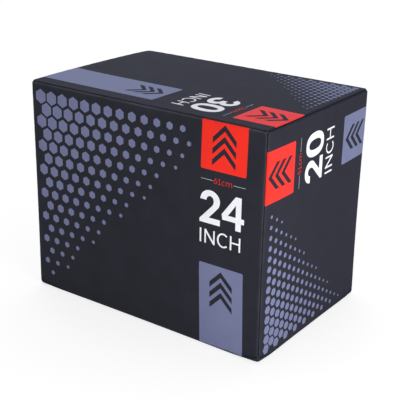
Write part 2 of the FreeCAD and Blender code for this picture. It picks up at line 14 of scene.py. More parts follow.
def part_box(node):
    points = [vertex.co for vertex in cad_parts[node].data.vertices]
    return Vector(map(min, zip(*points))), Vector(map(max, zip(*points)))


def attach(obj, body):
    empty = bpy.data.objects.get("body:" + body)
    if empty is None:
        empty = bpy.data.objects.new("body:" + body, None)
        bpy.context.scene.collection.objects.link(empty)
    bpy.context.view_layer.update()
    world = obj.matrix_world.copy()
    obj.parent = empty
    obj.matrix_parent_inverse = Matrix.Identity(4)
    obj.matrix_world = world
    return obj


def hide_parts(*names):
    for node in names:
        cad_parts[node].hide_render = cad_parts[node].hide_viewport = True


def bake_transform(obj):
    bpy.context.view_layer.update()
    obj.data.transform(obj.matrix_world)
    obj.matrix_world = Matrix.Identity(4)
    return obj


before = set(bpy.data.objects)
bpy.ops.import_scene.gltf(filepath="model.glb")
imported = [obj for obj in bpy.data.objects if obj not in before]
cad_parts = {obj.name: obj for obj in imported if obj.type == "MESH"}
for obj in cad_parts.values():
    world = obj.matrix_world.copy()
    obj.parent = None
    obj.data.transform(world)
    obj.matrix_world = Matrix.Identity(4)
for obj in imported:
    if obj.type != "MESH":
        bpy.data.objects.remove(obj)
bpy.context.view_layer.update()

bl_info = {
    "name": "Soft jump box",
    "version": (1, 0, 0),
    "blender": (4, 5, 0),
    "location": "3D View > Sidebar > Jump box",
    "description": "Builds a soft jump box: sewn cover, prints, zip, foam, core finishes and a stage",
    "category": "Object",
}

MM = 0.001


def low(node):
    """Lowest corner of a node of the frame."""
    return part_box(node)[0]


def high(node):
    """Highest corner of a node of the frame."""
    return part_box(node)[1]


# Gap between the ends of the zip's slot and its end stops
STOP_GAP = 0.6 * MM

# Places read from the frame. The cover's panels part at 45 degrees round an edge, so the foot of the front
# one gives the edge's radius
HALF = np.array((high("cover_right").x, -low("cover_front").y, high("cover_top").z / 2))
MIDDLE = np.array((0.0, 0.0, HALF[2]))
EDGE = low("cover_front").z / (1 - sqrt(0.5))
CLOTH = high("cover_rear_flap").y - low("cover_rear_flap").y
REAR = high("cover_rear_flap").y
FOAM_OUT = np.array((high("foam_right").x, high("foam_rear").y, high("foam_top").z - HALF[2]))
FOAM_THICK = high("foam_top").z - low("foam_top").z
HINGE_X = high("cover_rear_hinge_strip").x
ZIP_RUN = (low("zip_slider").z + high("zip_slider").z) / 2 - HALF[2]
CHAIN = high("zip_teeth_box").z - HALF[2] - ZIP_RUN
TAPE = high("zip_tape_box").z - HALF[2] - ZIP_RUN
ZIP_SIDE = high("zip_teeth_box").x - CHAIN
SLOT = ZIP_RUN - (high("cover_rear_flap").z - HALF[2])
TEETH_START = low("zip_teeth_box").x
TAPE_START = low("zip_tape_box").x
SLOT_START = low("zip_end_stops").x - STOP_GAP

# The zip's corner radius at its middle line, and where its turns begin
ZIP_TURN = 45 * MM
TURN_X = ZIP_SIDE - ZIP_TURN
TURN_Z = ZIP_RUN - ZIP_TURN

# For each face: its axes across, up and out as seen from outside, and how much it swells and puckers
FACES = {
    "front": ((1, 0, 0), (0, 0, 1), (0, -1, 0), 1.0, 1.0),
    "rear": ((-1, 0, 0), (0, 0, 1), (0, 1, 0), 0.0, 0.0),
    "right": ((0, 0, 1), (0, -1, 0), (1, 0, 0), 0.2, 1.0),
    "left": ((0, 0, 1), (0, 1, 0), (-1, 0, 0), 0.6, 1.0),
    "top": ((0, -1, 0), (1, 0, 0), (0, 0, 1), 0.2, 1.0),
    "bottom": ((0, 1, 0), (1, 0, 0), (0, 0, -1), 0.0, 0.0),
}

# How much wider than the others a face's seams are, at its left, right, lower and upper ends
SOFT_SEAMS = {
    "front": (0.0, 0.0, 0.4, 0.0),
    "rear": (0.0, 0.0, 0.4, 0.0),
    "right": (0.4, 0.8, 0.0, 0.0),
    "left": (0.4, 0.0, 0.0, 0.0),
    "top": (0.0, 0.0, 0.0, 0.8),
    "bottom": (0.4, 0.4, 0.4, 0.4),
}

# Slack of the cover: which sides meet there (0 runs along the edge), how far it is pulled in X, Y and Z, in
# millimetres, and the power by which the pull dies away
SLACK = (
    ((-1, 0, 1), (0.0, 0.0, 3.0), 10),
    ((-1, 1, 1), (1.5, 0.0, -1.5), 24),
    ((-1, -1, 1), (1.0, 0.5, 0.0), 10),
    ((-1, -1, 0), (1.8, 0.6, 0.0), 10),
    ((-1, -1, -1), (2.0, 0.0, 2.5), 60),
    ((0, -1, -1), (0.0, 0.0, 1.6), 10),
    ((1, -1, 1), (-1.6, 0.0, 0.0), 10),
    ((1, -1, 0), (-2.6, 0.0, 0.0), 10),
    ((1, -1, -1), (-2.0, 1.5, 3.5), 24),
    ((1, 1, 1), (-3.0, -1.0, 0.0), 10),
    ((1, 1, 0), (-3.6, -1.5, 0.0), 10),
)


def amount(name, description, default, **more):
    """A plain number for a property group."""
    return bpy.props.FloatProperty(name=name, description=description, default=default, **more)


def length(name, description, default):
    """A size in metres for a property group."""
    return amount(name, description, default, unit="LENGTH", precision=5)


def colour(name, description, default):
    """A colour for a property group, in linear values."""
    return bpy.props.FloatVectorProperty(
        name=name, description=description, default=default, subtype="COLOR", size=3, min=0.0, max=1.0)


def degrees(name, description, default):
    """An angle for a property group, given in degrees."""
    return amount(name, description, radians(default), unit="ROTATION")


def position(name, description, default):
    """A point of the frame for a property group."""
    return bpy.props.FloatVectorProperty(
        name=name, description=description, default=default, subtype="XYZ", unit="LENGTH")


class CoverSizes(bpy.types.PropertyGroup):
    """Sizes of the sewn cover."""

    spacing: length("Line spacing", "Mean distance between the lines of a panel's grid", 5 * MM)
    crown: length("Crown", "How far the middle of a printed face swells", 1.5 * MM)
    crease_depth: length("Crease depth", "Depth of the crease at a turned seam", 1.7 * MM)
    crease_width: length("Crease width", "Half width of the crease at a turned seam", 1.0 * MM)
    tuck_place: length("Tuck place", "Distance of a seam's tuck from the corner where it ends", 8 * MM)
    climb: length("Climb", "How far the lower seams climb where they meet at a corner", 16 * MM)
    climb_reach: length("Climb reach", "Distance over which that climb dies away", 60 * MM)
    roll_height: length("Roll height", "Height of the soft roll beside a seam", 0.8 * MM)
    roll_place: length("Roll place", "Distance of the roll from its seam", 3.4 * MM)
    pucker: length("Pucker", "Height of the waves that the thread pulls beside a seam", 0.3 * MM)
    pucker_reach: length("Pucker reach", "Distance over which the waves die away", 22 * MM)
    hem_width: length("Hem width", "Width of the turned edge along the zip", 7 * MM)
    hem_height: length("Hem height", "How far the turned edge stands up", 0.4 * MM)


class PrintSizes(bpy.types.PropertyGroup):
    """Sizes of the printed column, which is the same on three faces. Distances go down from its top edge."""

    film: length("Ink film", "Height of the ink over the cloth", 0.15 * MM)
    column: length("Column width", "Width of the square and the bar", 132.5 * MM)
    square_end: length("Square end", "Lower edge of the arrow square", 127 * MM)
    size_line: length("Size line", "Middle of the line with the metric size", 153 * MM)
    number_foot: length("Number foot", "Foot of the large number", 267 * MM)
    word_foot: length("Word foot", "Foot of the unit's name", 321 * MM)
    bar_top: length("Bar top", "Upper edge of the arrow bar", 375.5 * MM)
    corner: length("Corner", "Corner radius of the square and the bar", 4 * MM)
    arrow_half: length("Arrow half width", "Half the width of an arrow", 34.2 * MM)
    arrow_drop: length("Arrow drop", "How far an arrow's ends lie below its point", 34.3 * MM)
    arrow_thick: length("Arrow thickness", "Thickness of an arrow along the column", 15.8 * MM)
    arrow_pitch: length("Arrow pitch", "Distance from one arrow to the next", 28.4 * MM)
    hexagon_pitch: length("Hexagon pitch", "Distance between the hexagons on the front face", 40 * MM)


class ZipSizes(bpy.types.PropertyGroup):
    """Sizes of the zip and the stitches beside it."""

    tooth_pitch: length("Tooth pitch", "Distance from one tooth to the next in a row", 2.6 * MM)
    tooth_gap: length("Tooth gap", "Distance of a tooth's head from the middle line", 0.55 * MM)
    stitch_pitch: length("Stitch pitch", "Distance from one stitch to the next", 4.0 * MM)
    stitch_inset: length("Stitch inset", "Distance of the stitches from the turned edge", 4.0 * MM)
    stitch_thick: length("Stitch thickness", "Thickness of the thread", 0.8 * MM)
    fold: length("Fold", "Width of cloth that bends when the flap opens", 16 * MM)


class FoamSizes(bpy.types.PropertyGroup):
    """Sizes of the foam slabs."""

    edge: length("Edge radius", "Rounding of the foam along the outer edges of the box", 14 * MM)
    groove_half: length("Groove half width", "Half the width of the groove under the zip", 18.8 * MM)
    groove_deep: length("Groove depth", "Depth of the groove under the zip", 3.8 * MM)


class Finishes(bpy.types.PropertyGroup):
    """Colours of the finishes."""

    vinyl: colour("Vinyl", "Coated cloth of the cover", (0.0240, 0.0237, 0.0322))
    backing: colour("Backing", "Woven back of the coated cloth", (0.045, 0.045, 0.05))
    red: colour("Red ink", "Arrow square and metric size", (0.90, 0.0285, 0.0140))
    grey: colour("Grey ink", "Arrow bar and hexagons", (0.175, 0.19, 0.325))
    white: colour("White ink", "Number and words", (0.90, 0.90, 0.95))
    thread: colour("Thread", "Stitches", (0.022, 0.022, 0.026))
    tape: colour("Zip tape", "Woven tape", (0.02, 0.02, 0.022))
    teeth: colour("Zip teeth", "Moulded teeth", (0.03, 0.03, 0.032))
    gunmetal: colour("Gunmetal", "Slider, pull and end stops", (0.30, 0.30, 0.32))
    foam: colour("Foam", "Closed-cell foam", (0.78, 0.78, 0.75))
    birch: colour("Birch", "Pale veneers of the plywood", (0.62, 0.44, 0.25))
    birch_dark: colour("Dark birch", "Cross veneers and glue lines", (0.34, 0.20, 0.09))
    softwood: colour("Softwood", "Pale wood of the battens", (0.68, 0.49, 0.27))
    softwood_dark: colour("Dark softwood", "Late rings of the battens", (0.47, 0.26, 0.10))
    zinc: colour("Yellow zinc", "Screws", (0.62, 0.52, 0.30))


class StageSettings(bpy.types.PropertyGroup):
    """Camera, light and floor."""

    camera_place: position("Camera place", "Where the camera stands", (1.4439, -2.0145, 1.2276))
    camera_aim: position("Camera aim", "Point in the middle of the picture", (0.0364, -0.0374, 0.2949))
    camera_roll: degrees("Camera roll", "Turn of the camera about its line of sight", 1.084)
    lens: amount("Lens", "Focal length on a 36 mm sensor, in millimetres", 84.69)
    key_place: position("Key place", "Where the key lamp stands", (1.5, -0.84, 0.4))
    key_power: amount("Key power", "Power of the key lamp, in watts", 12.8)
    key_size: length("Key size", "Diameter of the key lamp", 0.8)
    top_from: bpy.props.FloatVectorProperty(
        name="Top light from", description="Direction towards the top light", subtype="DIRECTION",
        default=(-0.4, 0.5, 1.0))
    top_strength: amount("Top strength", "Irradiance of the top light, in watts per square metre", 1.0)
    top_spread: degrees("Top spread", "Angle that the top light fills", 57)
    ambient: amount("Ambient", "Strength of the white room on dull surfaces", 0.55)
    floor_size: length("Floor size", "Half the side of the floor", 14.0)
    floor_glow: amount("Floor glow", "Share of the floor's own white in the picture", 0.7,
                       subtype="FACTOR", min=0.0, max=1.0)


class JumpBoxSettings(bpy.types.PropertyGroup):
    """All the settings of the jump box."""

    cover: bpy.props.PointerProperty(name="Cover", description="Sizes of the cover", type=CoverSizes)
    prints: bpy.props.PointerProperty(name="Prints", description="Sizes of the prints", type=PrintSizes)
    zip: bpy.props.PointerProperty(name="Zip", description="Sizes of the zip", type=ZipSizes)
    foam: bpy.props.PointerProperty(name="Foam", description="Sizes of the foam", type=FoamSizes)
    finish: bpy.props.PointerProperty(name="Finish", description="Colours of the finishes", type=Finishes)
    stage: bpy.props.PointerProperty(name="Stage", description="Camera, light and floor", type=StageSettings)


# Grids, shells and meshes


def spaced(stops, spacing, fewest=4):
    """Lines through the stops in turn, divided by a cosine so that they crowd beside the stops.

    A stretch has parts of the mean spacing, and never fewer than the fewest.
    """
    lines = [np.array(stops[:1], float)]
    for first, last in zip(stops, stops[1:]):
        count = max(fewest, ceil(abs(last - first) / spacing))
        share = (1 - np.cos(np.linspace(0, pi, count + 1)[1:])) / 2
        lines.append(first + (last - first) * share)
    return np.concatenate(lines)


def smoothstep(value):
    """0 below 0, 1 above 1, and three times the square less twice the cube between."""
    value = np.clip(value, 0.0, 1.0)
    return value * value * (3 - 2 * value)


def bell(distance, width):
    """1 at no distance, and further off e to the negative square of the distance over the width."""
    return np.exp(-(distance / width) ** 2)


def points_of(*coordinates):
    """Coordinates, spread over a common grid, as one list of points."""
    return np.stack(np.broadcast_arrays(*coordinates), -1).reshape(-1, len(coordinates))


def shell(outer, inner, keep=None, closed=False):
    """A closed thin shell: the outer grid, the inner grid turned round, and walls where a kept cell ends.

    The first index of a grid runs across and the second up, seen from outside. A closed grid joins its last
    line to its first. Returns the points, the faces and which of the faces belong to the outer side.
    """
    rows, columns = outer.shape[:2]
    count = rows * columns
    number = np.arange(count).reshape(rows, columns)
    if closed:
        number = np.concatenate((number, number[:1]))
    corners = (number[:-1, :-1], number[1:, :-1], number[1:, 1:], number[:-1, 1:])
    kept = np.ones(corners[0].shape, bool) if keep is None else keep
    around = np.pad(kept, 1)
    if closed:
        around[0, 1:-1] = kept[-1]
        around[-1, 1:-1] = kept[0]
    beside = (around[1:-1, :-2], around[2:, 1:-1], around[1:-1, 2:], around[:-2, 1:-1])
    front = np.stack(corners, -1)[kept]
    parts = [front, front[:, ::-1] + count]
    for side, neighbour in enumerate(beside):
        ends = kept & ~neighbour
        first = corners[side][ends]
        second = corners[(side + 1) % 4][ends]
        parts.append(np.stack((second, first, first + count, second + count), -1))
    faces = np.concatenate(parts)
    points = np.concatenate((outer.reshape(-1, 3), inner.reshape(-1, 3)))
    return points, faces, np.arange(len(faces)) < len(front)


def used_only(points, faces, *others):
    """The same faces without the points that none of them uses; other arrays of points follow."""
    used = np.zeros(len(points), bool)
    used[faces.ravel()] = True
    fresh = np.cumsum(used) - 1
    return points[used], fresh[faces], *(other[used] for other in others)


def merged(pieces):
    """Several pieces of points and faces as one."""
    starts = np.cumsum([0] + [len(points) for points, faces in pieces])
    points = np.concatenate([points for points, faces in pieces])
    faces = np.concatenate([faces + start for (points, faces), start in zip(pieces, starts)])
    return points, faces


# Faces that meet at more than this angle keep a sharp edge
SHARP_EDGE = radians(40)


def add_piece(name, points, faces, finishes, body=None, nodes=(), cloth=None, rub=None, outside=None):
    """Put points and faces into a mesh at the origin, with its finishes, and give it its place in the frame.

    The cloth array holds a flat place for each point, in metres, and becomes the UV map. The array of
    painted light holds painted highlight beside seams, above 0, and painted shade in their creases, below 0.
    Faces that aren't outside take the second finish.
    """
    mesh = bpy.data.meshes.new(name)
    mesh.from_pydata(points, [], faces)
    for finish in finishes:
        mesh.materials.append(finish)
    if outside is not None:
        mesh.polygons.foreach_set("material_index", np.where(outside, 0, 1).astype(np.int32))
    if cloth is not None:
        corner = np.empty(len(mesh.loops), np.int32)
        mesh.loops.foreach_get("vertex_index", corner)
        mesh.uv_layers.new(name="cloth").uv.foreach_set("vector", cloth[corner].astype(np.float32).ravel())
    # Painted highlight beside seams, above 0, and painted shade in their creases, below 0, as a point
    # attribute
    if rub is not None:
        mesh.attributes.new("rub", "FLOAT", "POINT").data.foreach_set("value", rub.astype(np.float32))
    mesh.shade_smooth()
    mesh.set_sharp_from_angle(angle=SHARP_EDGE)
    mesh.update()
    piece = bpy.data.objects.new(name, mesh)
    bpy.context.scene.collection.objects.link(piece)
    if nodes:
        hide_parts(*nodes)
    if body:
        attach(piece, body)
    return piece


# The cover's surface


def cloth_limits(face):
    """Cloth distance from a face's middle to its seams, across and up.

    It is the flat part and half of the rounded edge, which is an eighth of a turn.
    """
    across, up = FACES[face][:2]
    flat = HALF - EDGE
    half_edge = EDGE * pi / 4
    return np.abs(across) @ flat + half_edge, np.abs(up) @ flat + half_edge


def pull_slack(points):
    """Pull edges and corners by the cover's slack.

    Each pull is weighted by how near a point lies to the sides that meet there, as a high power of its place
    in the box from -1 to 1, and along an edge by one less the square of that place.
    """
    place = (points - MIDDLE) / HALF
    pulled = points.copy()
    for sides, pull, power in SLACK:
        side = np.array(sides)
        near = np.clip((1 + side * place) / 2, 0.0, 1.0) ** power
        weight = np.prod(np.where(side == 0, np.clip(1 - place ** 2, 0.0, 1.0), near), axis=-1)
        pulled += weight[..., None] * np.array(pull) * MM
    return pulled


# The waves beside a seam: length, height and lag of each, where they start from the seam, and over what
# distance from a corner they calm down
WAVES = ((37 * MM, 1.0, 1.0), (61 * MM, 0.7, 2.1))
WAVE_START = 5 * MM
WAVE_CALM = 15 * MM


def seam_waves(along, away, other, sizes, shift):
    """Two waves along a seam, nothing at the seam itself, dying away from it and towards the corners."""
    wave = sum(height * np.sin(2 * pi * along / span + lag * shift) for span, height, lag in WAVES)
    calm = 1 - np.exp(-other / WAVE_CALM)
    return wave * (1 - bell(away, WAVE_START)) * np.exp(-away / sizes.pucker_reach) * calm


def seam_softness(face, u, v):
    """How much wider the seams nearest to cloth places are, across and up."""
    left, right, lower, upper = SOFT_SEAMS[face]
    return np.where(u > 0, right, left), np.where(v > 0, upper, lower)


# Soft seams are as narrow as the others within about this distance of a corner
FIRM_CORNER = 25 * MM


def seam_distances(sizes, face, u, v):
    """Distances of cloth places from the nearest seam across and up.

    Round the floor the seams climb the sides near the corners, by a height that dies away along them, and
    the upright seams end there. Away from the corners, distances from a soft seam count for less.
    """
    limit_u, limit_v = cloth_limits(face)
    plain_u = limit_u - np.abs(u)
    plain_v = limit_v - np.abs(v)
    climb_u = sizes.climb * np.exp(-plain_v / sizes.climb_reach)
    climb_v = sizes.climb * np.exp(-plain_u / sizes.climb_reach)
    away_u, away_v = plain_u, plain_v
    if face == "bottom":
        away_u, away_v = plain_u + climb_u, plain_v + climb_v
    elif face in ("front", "rear"):
        under = np.where(v < 0, climb_v - plain_v, 0.0)
        away_u = np.hypot(plain_u, np.maximum(under, 0.0))
        away_v = np.where(v < 0, np.abs(under), plain_v)
    elif face in ("left", "right"):
        under = np.where(u < 0, climb_u - plain_u, 0.0)
        away_u = np.where(u < 0, np.abs(under), plain_u)
        away_v = np.hypot(plain_v, np.maximum(under, 0.0))
    soft_u, soft_v = seam_softness(face, u, v)
    return (away_u / (1 + soft_u * (1 - bell(plain_v, FIRM_CORNER))),
            away_v / (1 + soft_v * (1 - bell(plain_u, FIRM_CORNER))))


# The tuck in a seam's crease: its half length as a share of its place, and how much wider and deeper it is
TUCK_LENGTH = 0.45
TUCK_WIDER = 0.6
TUCK_DEEPER = 0.5


def seam_crease(sizes, away_u, away_v):
    """The share of a seam's crease: a bell about the seam, wider and deeper at a tuck close to each corner.

    The tuck is a bell along the seam, about its place.
    """
    away = np.minimum(away_u, away_v)
    tuck = bell(np.maximum(away_u, away_v) / sizes.tuck_place - 1, TUCK_LENGTH)
    return bell(away, sizes.crease_width * (1 + TUCK_WIDER * tuck)) * (1 + TUCK_DEEPER * tuck)


# Width of the roll beside a seam as a share of its place, and the shifts of the waves at the sides and ends
ROLL_SPREAD = 0.6
SIDE_SHIFT = 0.4
END_SHIFT = 1.7


def cover_relief(sizes, face, u, v):
    """How far the cloth stands off the plain rounded box.

    A crown swells the middle, as one less the square of the place across and up. Each seam is a bell-shaped
    crease with a lower bell beside it as a roll, and waves pucker the cloth next to them.
    """
    limit_u, limit_v = cloth_limits(face)
    swell, pucker = FACES[face][3:]
    away_u, away_v = seam_distances(sizes, face, u, v)
    away = np.minimum(away_u, away_v)
    crown = sizes.crown * (1 - (u / limit_u) ** 2) * (1 - (v / limit_v) ** 2)
    crease = sizes.crease_depth * seam_crease(sizes, away_u, away_v)
    roll = sizes.roll_height * bell(away - sizes.roll_place, ROLL_SPREAD * sizes.roll_place)
    waves = (seam_waves(v, away_u, away_v, sizes, np.sign(u) + SIDE_SHIFT)
             + seam_waves(u, away_v, away_u, sizes, np.sign(v) + END_SHIFT))
    return roll - crease + swell * crown + pucker * sizes.pucker * waves


def cover_point(sizes, face, u, v, lift=0.0):
    """Points of the cover at cloth distances u and v from a face's middle, lifted off it.

    The box is a core grown by the edge radius. Past the core's rim the cloth turns about it by its distance
    over the radius, up to the mitre at 45 degrees. A point is the core's point plus the radius, the relief
    and the lift along the turned direction, then pulled by the cover's slack.
    """
    across, up, out = (np.array(axis, float) for axis in FACES[face][:3])
    reach_u, reach_v, reach_out = (np.abs(axis) @ (HALF - EDGE) for axis in (across, up, out))
    flat_u = np.clip(u, -reach_u, reach_u)
    flat_v = np.clip(v, -reach_v, reach_v)
    lean_u = np.tan((u - flat_u) / EDGE)[..., None]
    lean_v = np.tan((v - flat_v) / EDGE)[..., None]
    way = out + lean_u * across + lean_v * up
    way /= np.linalg.norm(way, axis=-1, keepdims=True)
    core = MIDDLE + flat_u[..., None] * across + flat_v[..., None] * up + reach_out * out
    stand = EDGE + cover_relief(sizes, face, u, v) + lift
    return pull_slack(core + stand[..., None] * way)


def facing_out(u, v, keep=None):
    """The grid with its first index reversed if its cells would face inwards."""
    run = np.stack((u[1:, :-1] - u[:-1, :-1], v[1:, :-1] - v[:-1, :-1]))
    rise = np.stack((u[:-1, 1:] - u[:-1, :-1], v[:-1, 1:] - v[:-1, :-1]))
    if np.sum(run[0] * rise[1] - run[1] * rise[0]) >= 0:
        return u, v, keep
    return u[::-1], v[::-1], None if keep is None else keep[::-1]


# The painted highlight's reach as a share of the roll's place, how much more painted highlight the front's
# upper roll takes, and how far from its seam
HIGHLIGHT_SPREAD = 1.6
UPPER_HIGHLIGHT_MORE = 3
UPPER_HIGHLIGHT_REACH = 5 * MM


def seam_painted_light(sizes, face, u, v):
    """Painted shade in a crease, below 0, painted highlight most on the roll beside it, none further in.

    Soft seams take no painted highlight. The front's upper roll takes the most.
    """
    away_u, away_v = seam_distances(sizes, face, u, v)
    soft_u, soft_v = seam_softness(face, u, v)
    crease = seam_crease(sizes, away_u, away_v)
    roll_u = bell(away_u, HIGHLIGHT_SPREAD * sizes.roll_place) * (soft_u == 0)
    roll_v = bell(away_v, HIGHLIGHT_SPREAD * sizes.roll_place) * (soft_v == 0)
    # More painted highlight on the front's upper roll
    upper_highlight = np.where((v > 0) & (face == "front"), UPPER_HIGHLIGHT_MORE * bell(away_v, UPPER_HIGHLIGHT_REACH), 0.0)
    # Painted highlight on the rolls, less the painted shade in the crease
    return (1 - crease) * np.maximum(roll_u, roll_v) * (1 + upper_highlight) - crease


def cloth_piece(settings, name, face, u, v, keep=None, rise=None, body="box"):
    """One cut piece of coated cloth: the cover's surface over a flat grid, a shell as thick as the cloth.

    The inner side carries the woven backing.
    """
    u, v, keep = facing_out(u, v, keep)
    lift = 0.0 if rise is None else rise(u, v)
    outer = cover_point(settings.cover, face, u, v, lift)
    inner = cover_point(settings.cover, face, u, v, lift - CLOTH)
    points, faces, outside = shell(outer, inner, keep)
    flat = np.tile(points_of(u, v), (2, 1))
    # Painted highlight on the rolls beside seams and painted shade in their creases, for both sides of the
    # shell
    rub = np.tile(seam_painted_light(settings.cover, face, u, v).ravel(), 2)
    points, faces, cloth, rub = used_only(points, faces, flat, rub)
    finishes = (finish_of("cover vinyl", vinyl, settings.finish.vinyl),
                finish_of("cover backing", backing, settings.finish.backing))
    piece = add_piece(name + "_cloth", points, faces, finishes, body, (name,),
                      cloth, rub, outside)
    return piece


# The rear face: four strips and a flap round the zip's slot


def zip_offset(x, z):
    """Distance of a rear point outwards from the zip's middle line, a core grown by the corner radius.

    x is as in the frame, z is from mid height.
    """
    return np.hypot(np.maximum(x - TURN_X, 0), np.maximum(np.abs(z) - TURN_Z, 0)) - ZIP_TURN


# Beside the slot: the width over which the hem falls off, and the widths of the bells that shape the cloth,
# with their depths as shares of the hem's height
HEM_FALL = 2 * MM
EDGE_WIDTH = 0.7 * MM
EDGE_DEPTH = 0.5
DIP_WIDTH = 0.9 * MM
DIP_DEPTH = 0.6
FOLD_WIDTH = 2.5 * MM
FOLD_DEPTH = 0.5


def hem_rise(sizes, zip_sizes):
    """The rise of the rear cloth beside the slot and the fold, as a function of the rear face's u and v.

    A turned edge is twice as thick: it stands up over the hem's width, rounds off at the slot by a narrow
    bell and dips along its stitches by another. The fold is a shallow bell.
    """
    def rise(u, v):
        x = -u
        across = np.maximum(np.abs(zip_offset(x, v)) - SLOT, 0)
        away = np.hypot(across, np.maximum(SLOT_START - x, 0))
        hem = 1 - smoothstep((away - sizes.hem_width) / HEM_FALL)
        edge = EDGE_DEPTH * bell(away, EDGE_WIDTH)
        dip = DIP_DEPTH * bell(away - zip_sizes.stitch_inset, DIP_WIDTH)
        fold = FOLD_DEPTH * bell(x - HINGE_X, FOLD_WIDTH)
        return sizes.hem_height * (hem - edge - dip - fold)
    return rise


def rear_piece(settings, name, x, z, keep=None, body="box"):
    """A piece of the rear cloth over a grid of the frame's x and heights z from mid height."""
    return cloth_piece(settings, name, "rear", -x, z, keep, hem_rise(settings.cover, settings.zip), body)


# Lines of a strip's grid over half of a quarter turn and of the flap's over a whole one, and the mean
# distance between the lines along a strip, as a share of its width
STRIP_TURN_LINES = 12
FLAP_TURN_LINES = 16
RULED_SPACING = 0.06


def ruled(slot_edge, seam_edge):
    """One coordinate of a strip's grid: straight lines from the slot's edge to the seam, crowded at both."""
    share = spaced((0.0, 1.0), RULED_SPACING)
    return slot_edge[:, None] + (seam_edge - slot_edge)[:, None] * share


def rear_hinge_strip(settings):
    """The strip on the fold's side: a grid with two notches where the zip's ends lie."""
    limit_u, limit_v = cloth_limits("rear")
    spacing = settings.cover.spacing
    x = spaced((-limit_u, SLOT_START, HINGE_X), spacing)
    notch = (ZIP_RUN - SLOT, ZIP_RUN + SLOT)
    z = spaced((-limit_v, -notch[1], -notch[0], *notch, limit_v), spacing)
    mid_x = (x[1:] + x[:-1])[:, None] / 2
    mid_z = (z[1:] + z[:-1])[None, :] / 2
    keep = (mid_x < SLOT_START) | (np.abs(np.abs(mid_z) - ZIP_RUN) > SLOT)
    grid_x, grid_z = np.meshgrid(x, z, indexing="ij")
    return rear_piece(settings, "cover_rear_hinge_strip", grid_x, grid_z, keep)


def rear_run_strip(settings, name, side):
    """The strip above or below the zip: a ruled surface from the slot's edge to the seam.

    The slot's edge is a straight run and half a quarter turn. The seam's edge goes along with it, and the
    strip ends at the mitre from the turn's middle to the box's corner.
    """
    limit_u, limit_v = cloth_limits("rear")
    run = spaced((HINGE_X, TURN_X), 2 * settings.cover.spacing)
    turn = np.linspace(0, pi / 4, STRIP_TURN_LINES + 1)[1:]
    radius = ZIP_TURN + SLOT
    slot_x = np.concatenate((run, TURN_X + radius * np.sin(turn)))
    slot_z = np.concatenate((np.full_like(run, TURN_Z + radius), TURN_Z + radius * np.cos(turn)))
    seam_x = np.concatenate((run, TURN_X + (limit_u - TURN_X) * turn / (pi / 4)))
    return rear_piece(settings, name, ruled(slot_x, seam_x), side * ruled(slot_z, limit_v))


def rear_free_strip(settings):
    """The strip on the free side: a ruled surface from the slot's edge to the seam, mitred at both ends."""
    limit_u, limit_v = cloth_limits("rear")
    turn = np.linspace(pi / 4, 0, STRIP_TURN_LINES + 1)
    radius = ZIP_TURN + SLOT
    run = spaced((TURN_Z, -TURN_Z), 2 * settings.cover.spacing)[1:-1]
    slot_x = TURN_X + radius * np.concatenate((np.cos(turn), np.ones_like(run), np.cos(turn[::-1])))
    slot_end = TURN_Z + radius * np.sin(turn)
    slot_z = np.concatenate((slot_end, run, -slot_end[::-1]))
    seam_end = TURN_Z + (limit_v - TURN_Z) * (turn / (pi / 4))
    seam_z = np.concatenate((seam_end, run, -seam_end[::-1]))
    return rear_piece(settings, "cover_rear_free_strip", ruled(slot_x, limit_u), ruled(slot_z, seam_z))


def rear_flap(settings):
    """The flap: lines across from the fold to the free edge, each as tall as the flap is there.

    The flap is a rectangle whose free corners are quarter turns, so a line's half height is the straight
    part plus the height of the turn's circle.
    """
    radius = ZIP_TURN - SLOT
    turn = np.linspace(0, pi / 2, FLAP_TURN_LINES + 1)[1:]
    x = np.concatenate((spaced((HINGE_X, TURN_X), settings.cover.spacing), TURN_X + radius * np.sin(turn)))
    half = TURN_Z + np.sqrt(np.maximum(radius ** 2 - np.maximum(x - TURN_X, 0) ** 2, 0))
    share = spaced((-1.0, 1.0), settings.cover.spacing / TURN_Z)
    grid_x = np.repeat(x[:, None], len(share), 1)
    return rear_piece(settings, "cover_rear_flap", grid_x, half[:, None] * share, body=None)


def bend_at_fold(piece):
    """Apply the transform of a piece of the flap's side to its mesh, and reset the transform."""
    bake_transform(piece)


# The zip and its stitches


def zip_knots(start):
    """Distances along the zip's middle line at its ends and where its turns begin and end."""
    quarter = ZIP_TURN * pi / 2
    return np.cumsum((0.0, TURN_X - start, quarter, 2 * TURN_Z, quarter, TURN_X - start))


def zip_path(start, along):
    """Points of the zip's middle line, outward and forward directions, at distances from its upper end.

    The line is a core of three straight runs grown by the corner radius: the outward direction turns from up
    through right to down while the core point waits at a corner.
    """
    knots = zip_knots(start)
    angle = np.interp(along, knots, np.array((1, 1, 0, 0, -1, -1)) * pi / 2)
    core_x = np.interp(along, knots, (start, TURN_X, TURN_X, TURN_X, TURN_X, start))
    core_z = np.interp(along, knots, np.array((1, 1, 1, -1, -1, -1)) * TURN_Z)
    still = np.zeros_like(angle)
    outward = np.stack((np.cos(angle), still, np.sin(angle)), -1)
    forward = np.stack((np.sin(angle), still, -np.cos(angle)), -1)
    core = np.stack((core_x, still, core_z + HALF[2]), -1)
    return core + ZIP_TURN * outward, outward, forward


# Lines of a tape's grid across it, and the distance between those along it
TAPE_LINES = 10
TAPE_STEP = 4 * MM


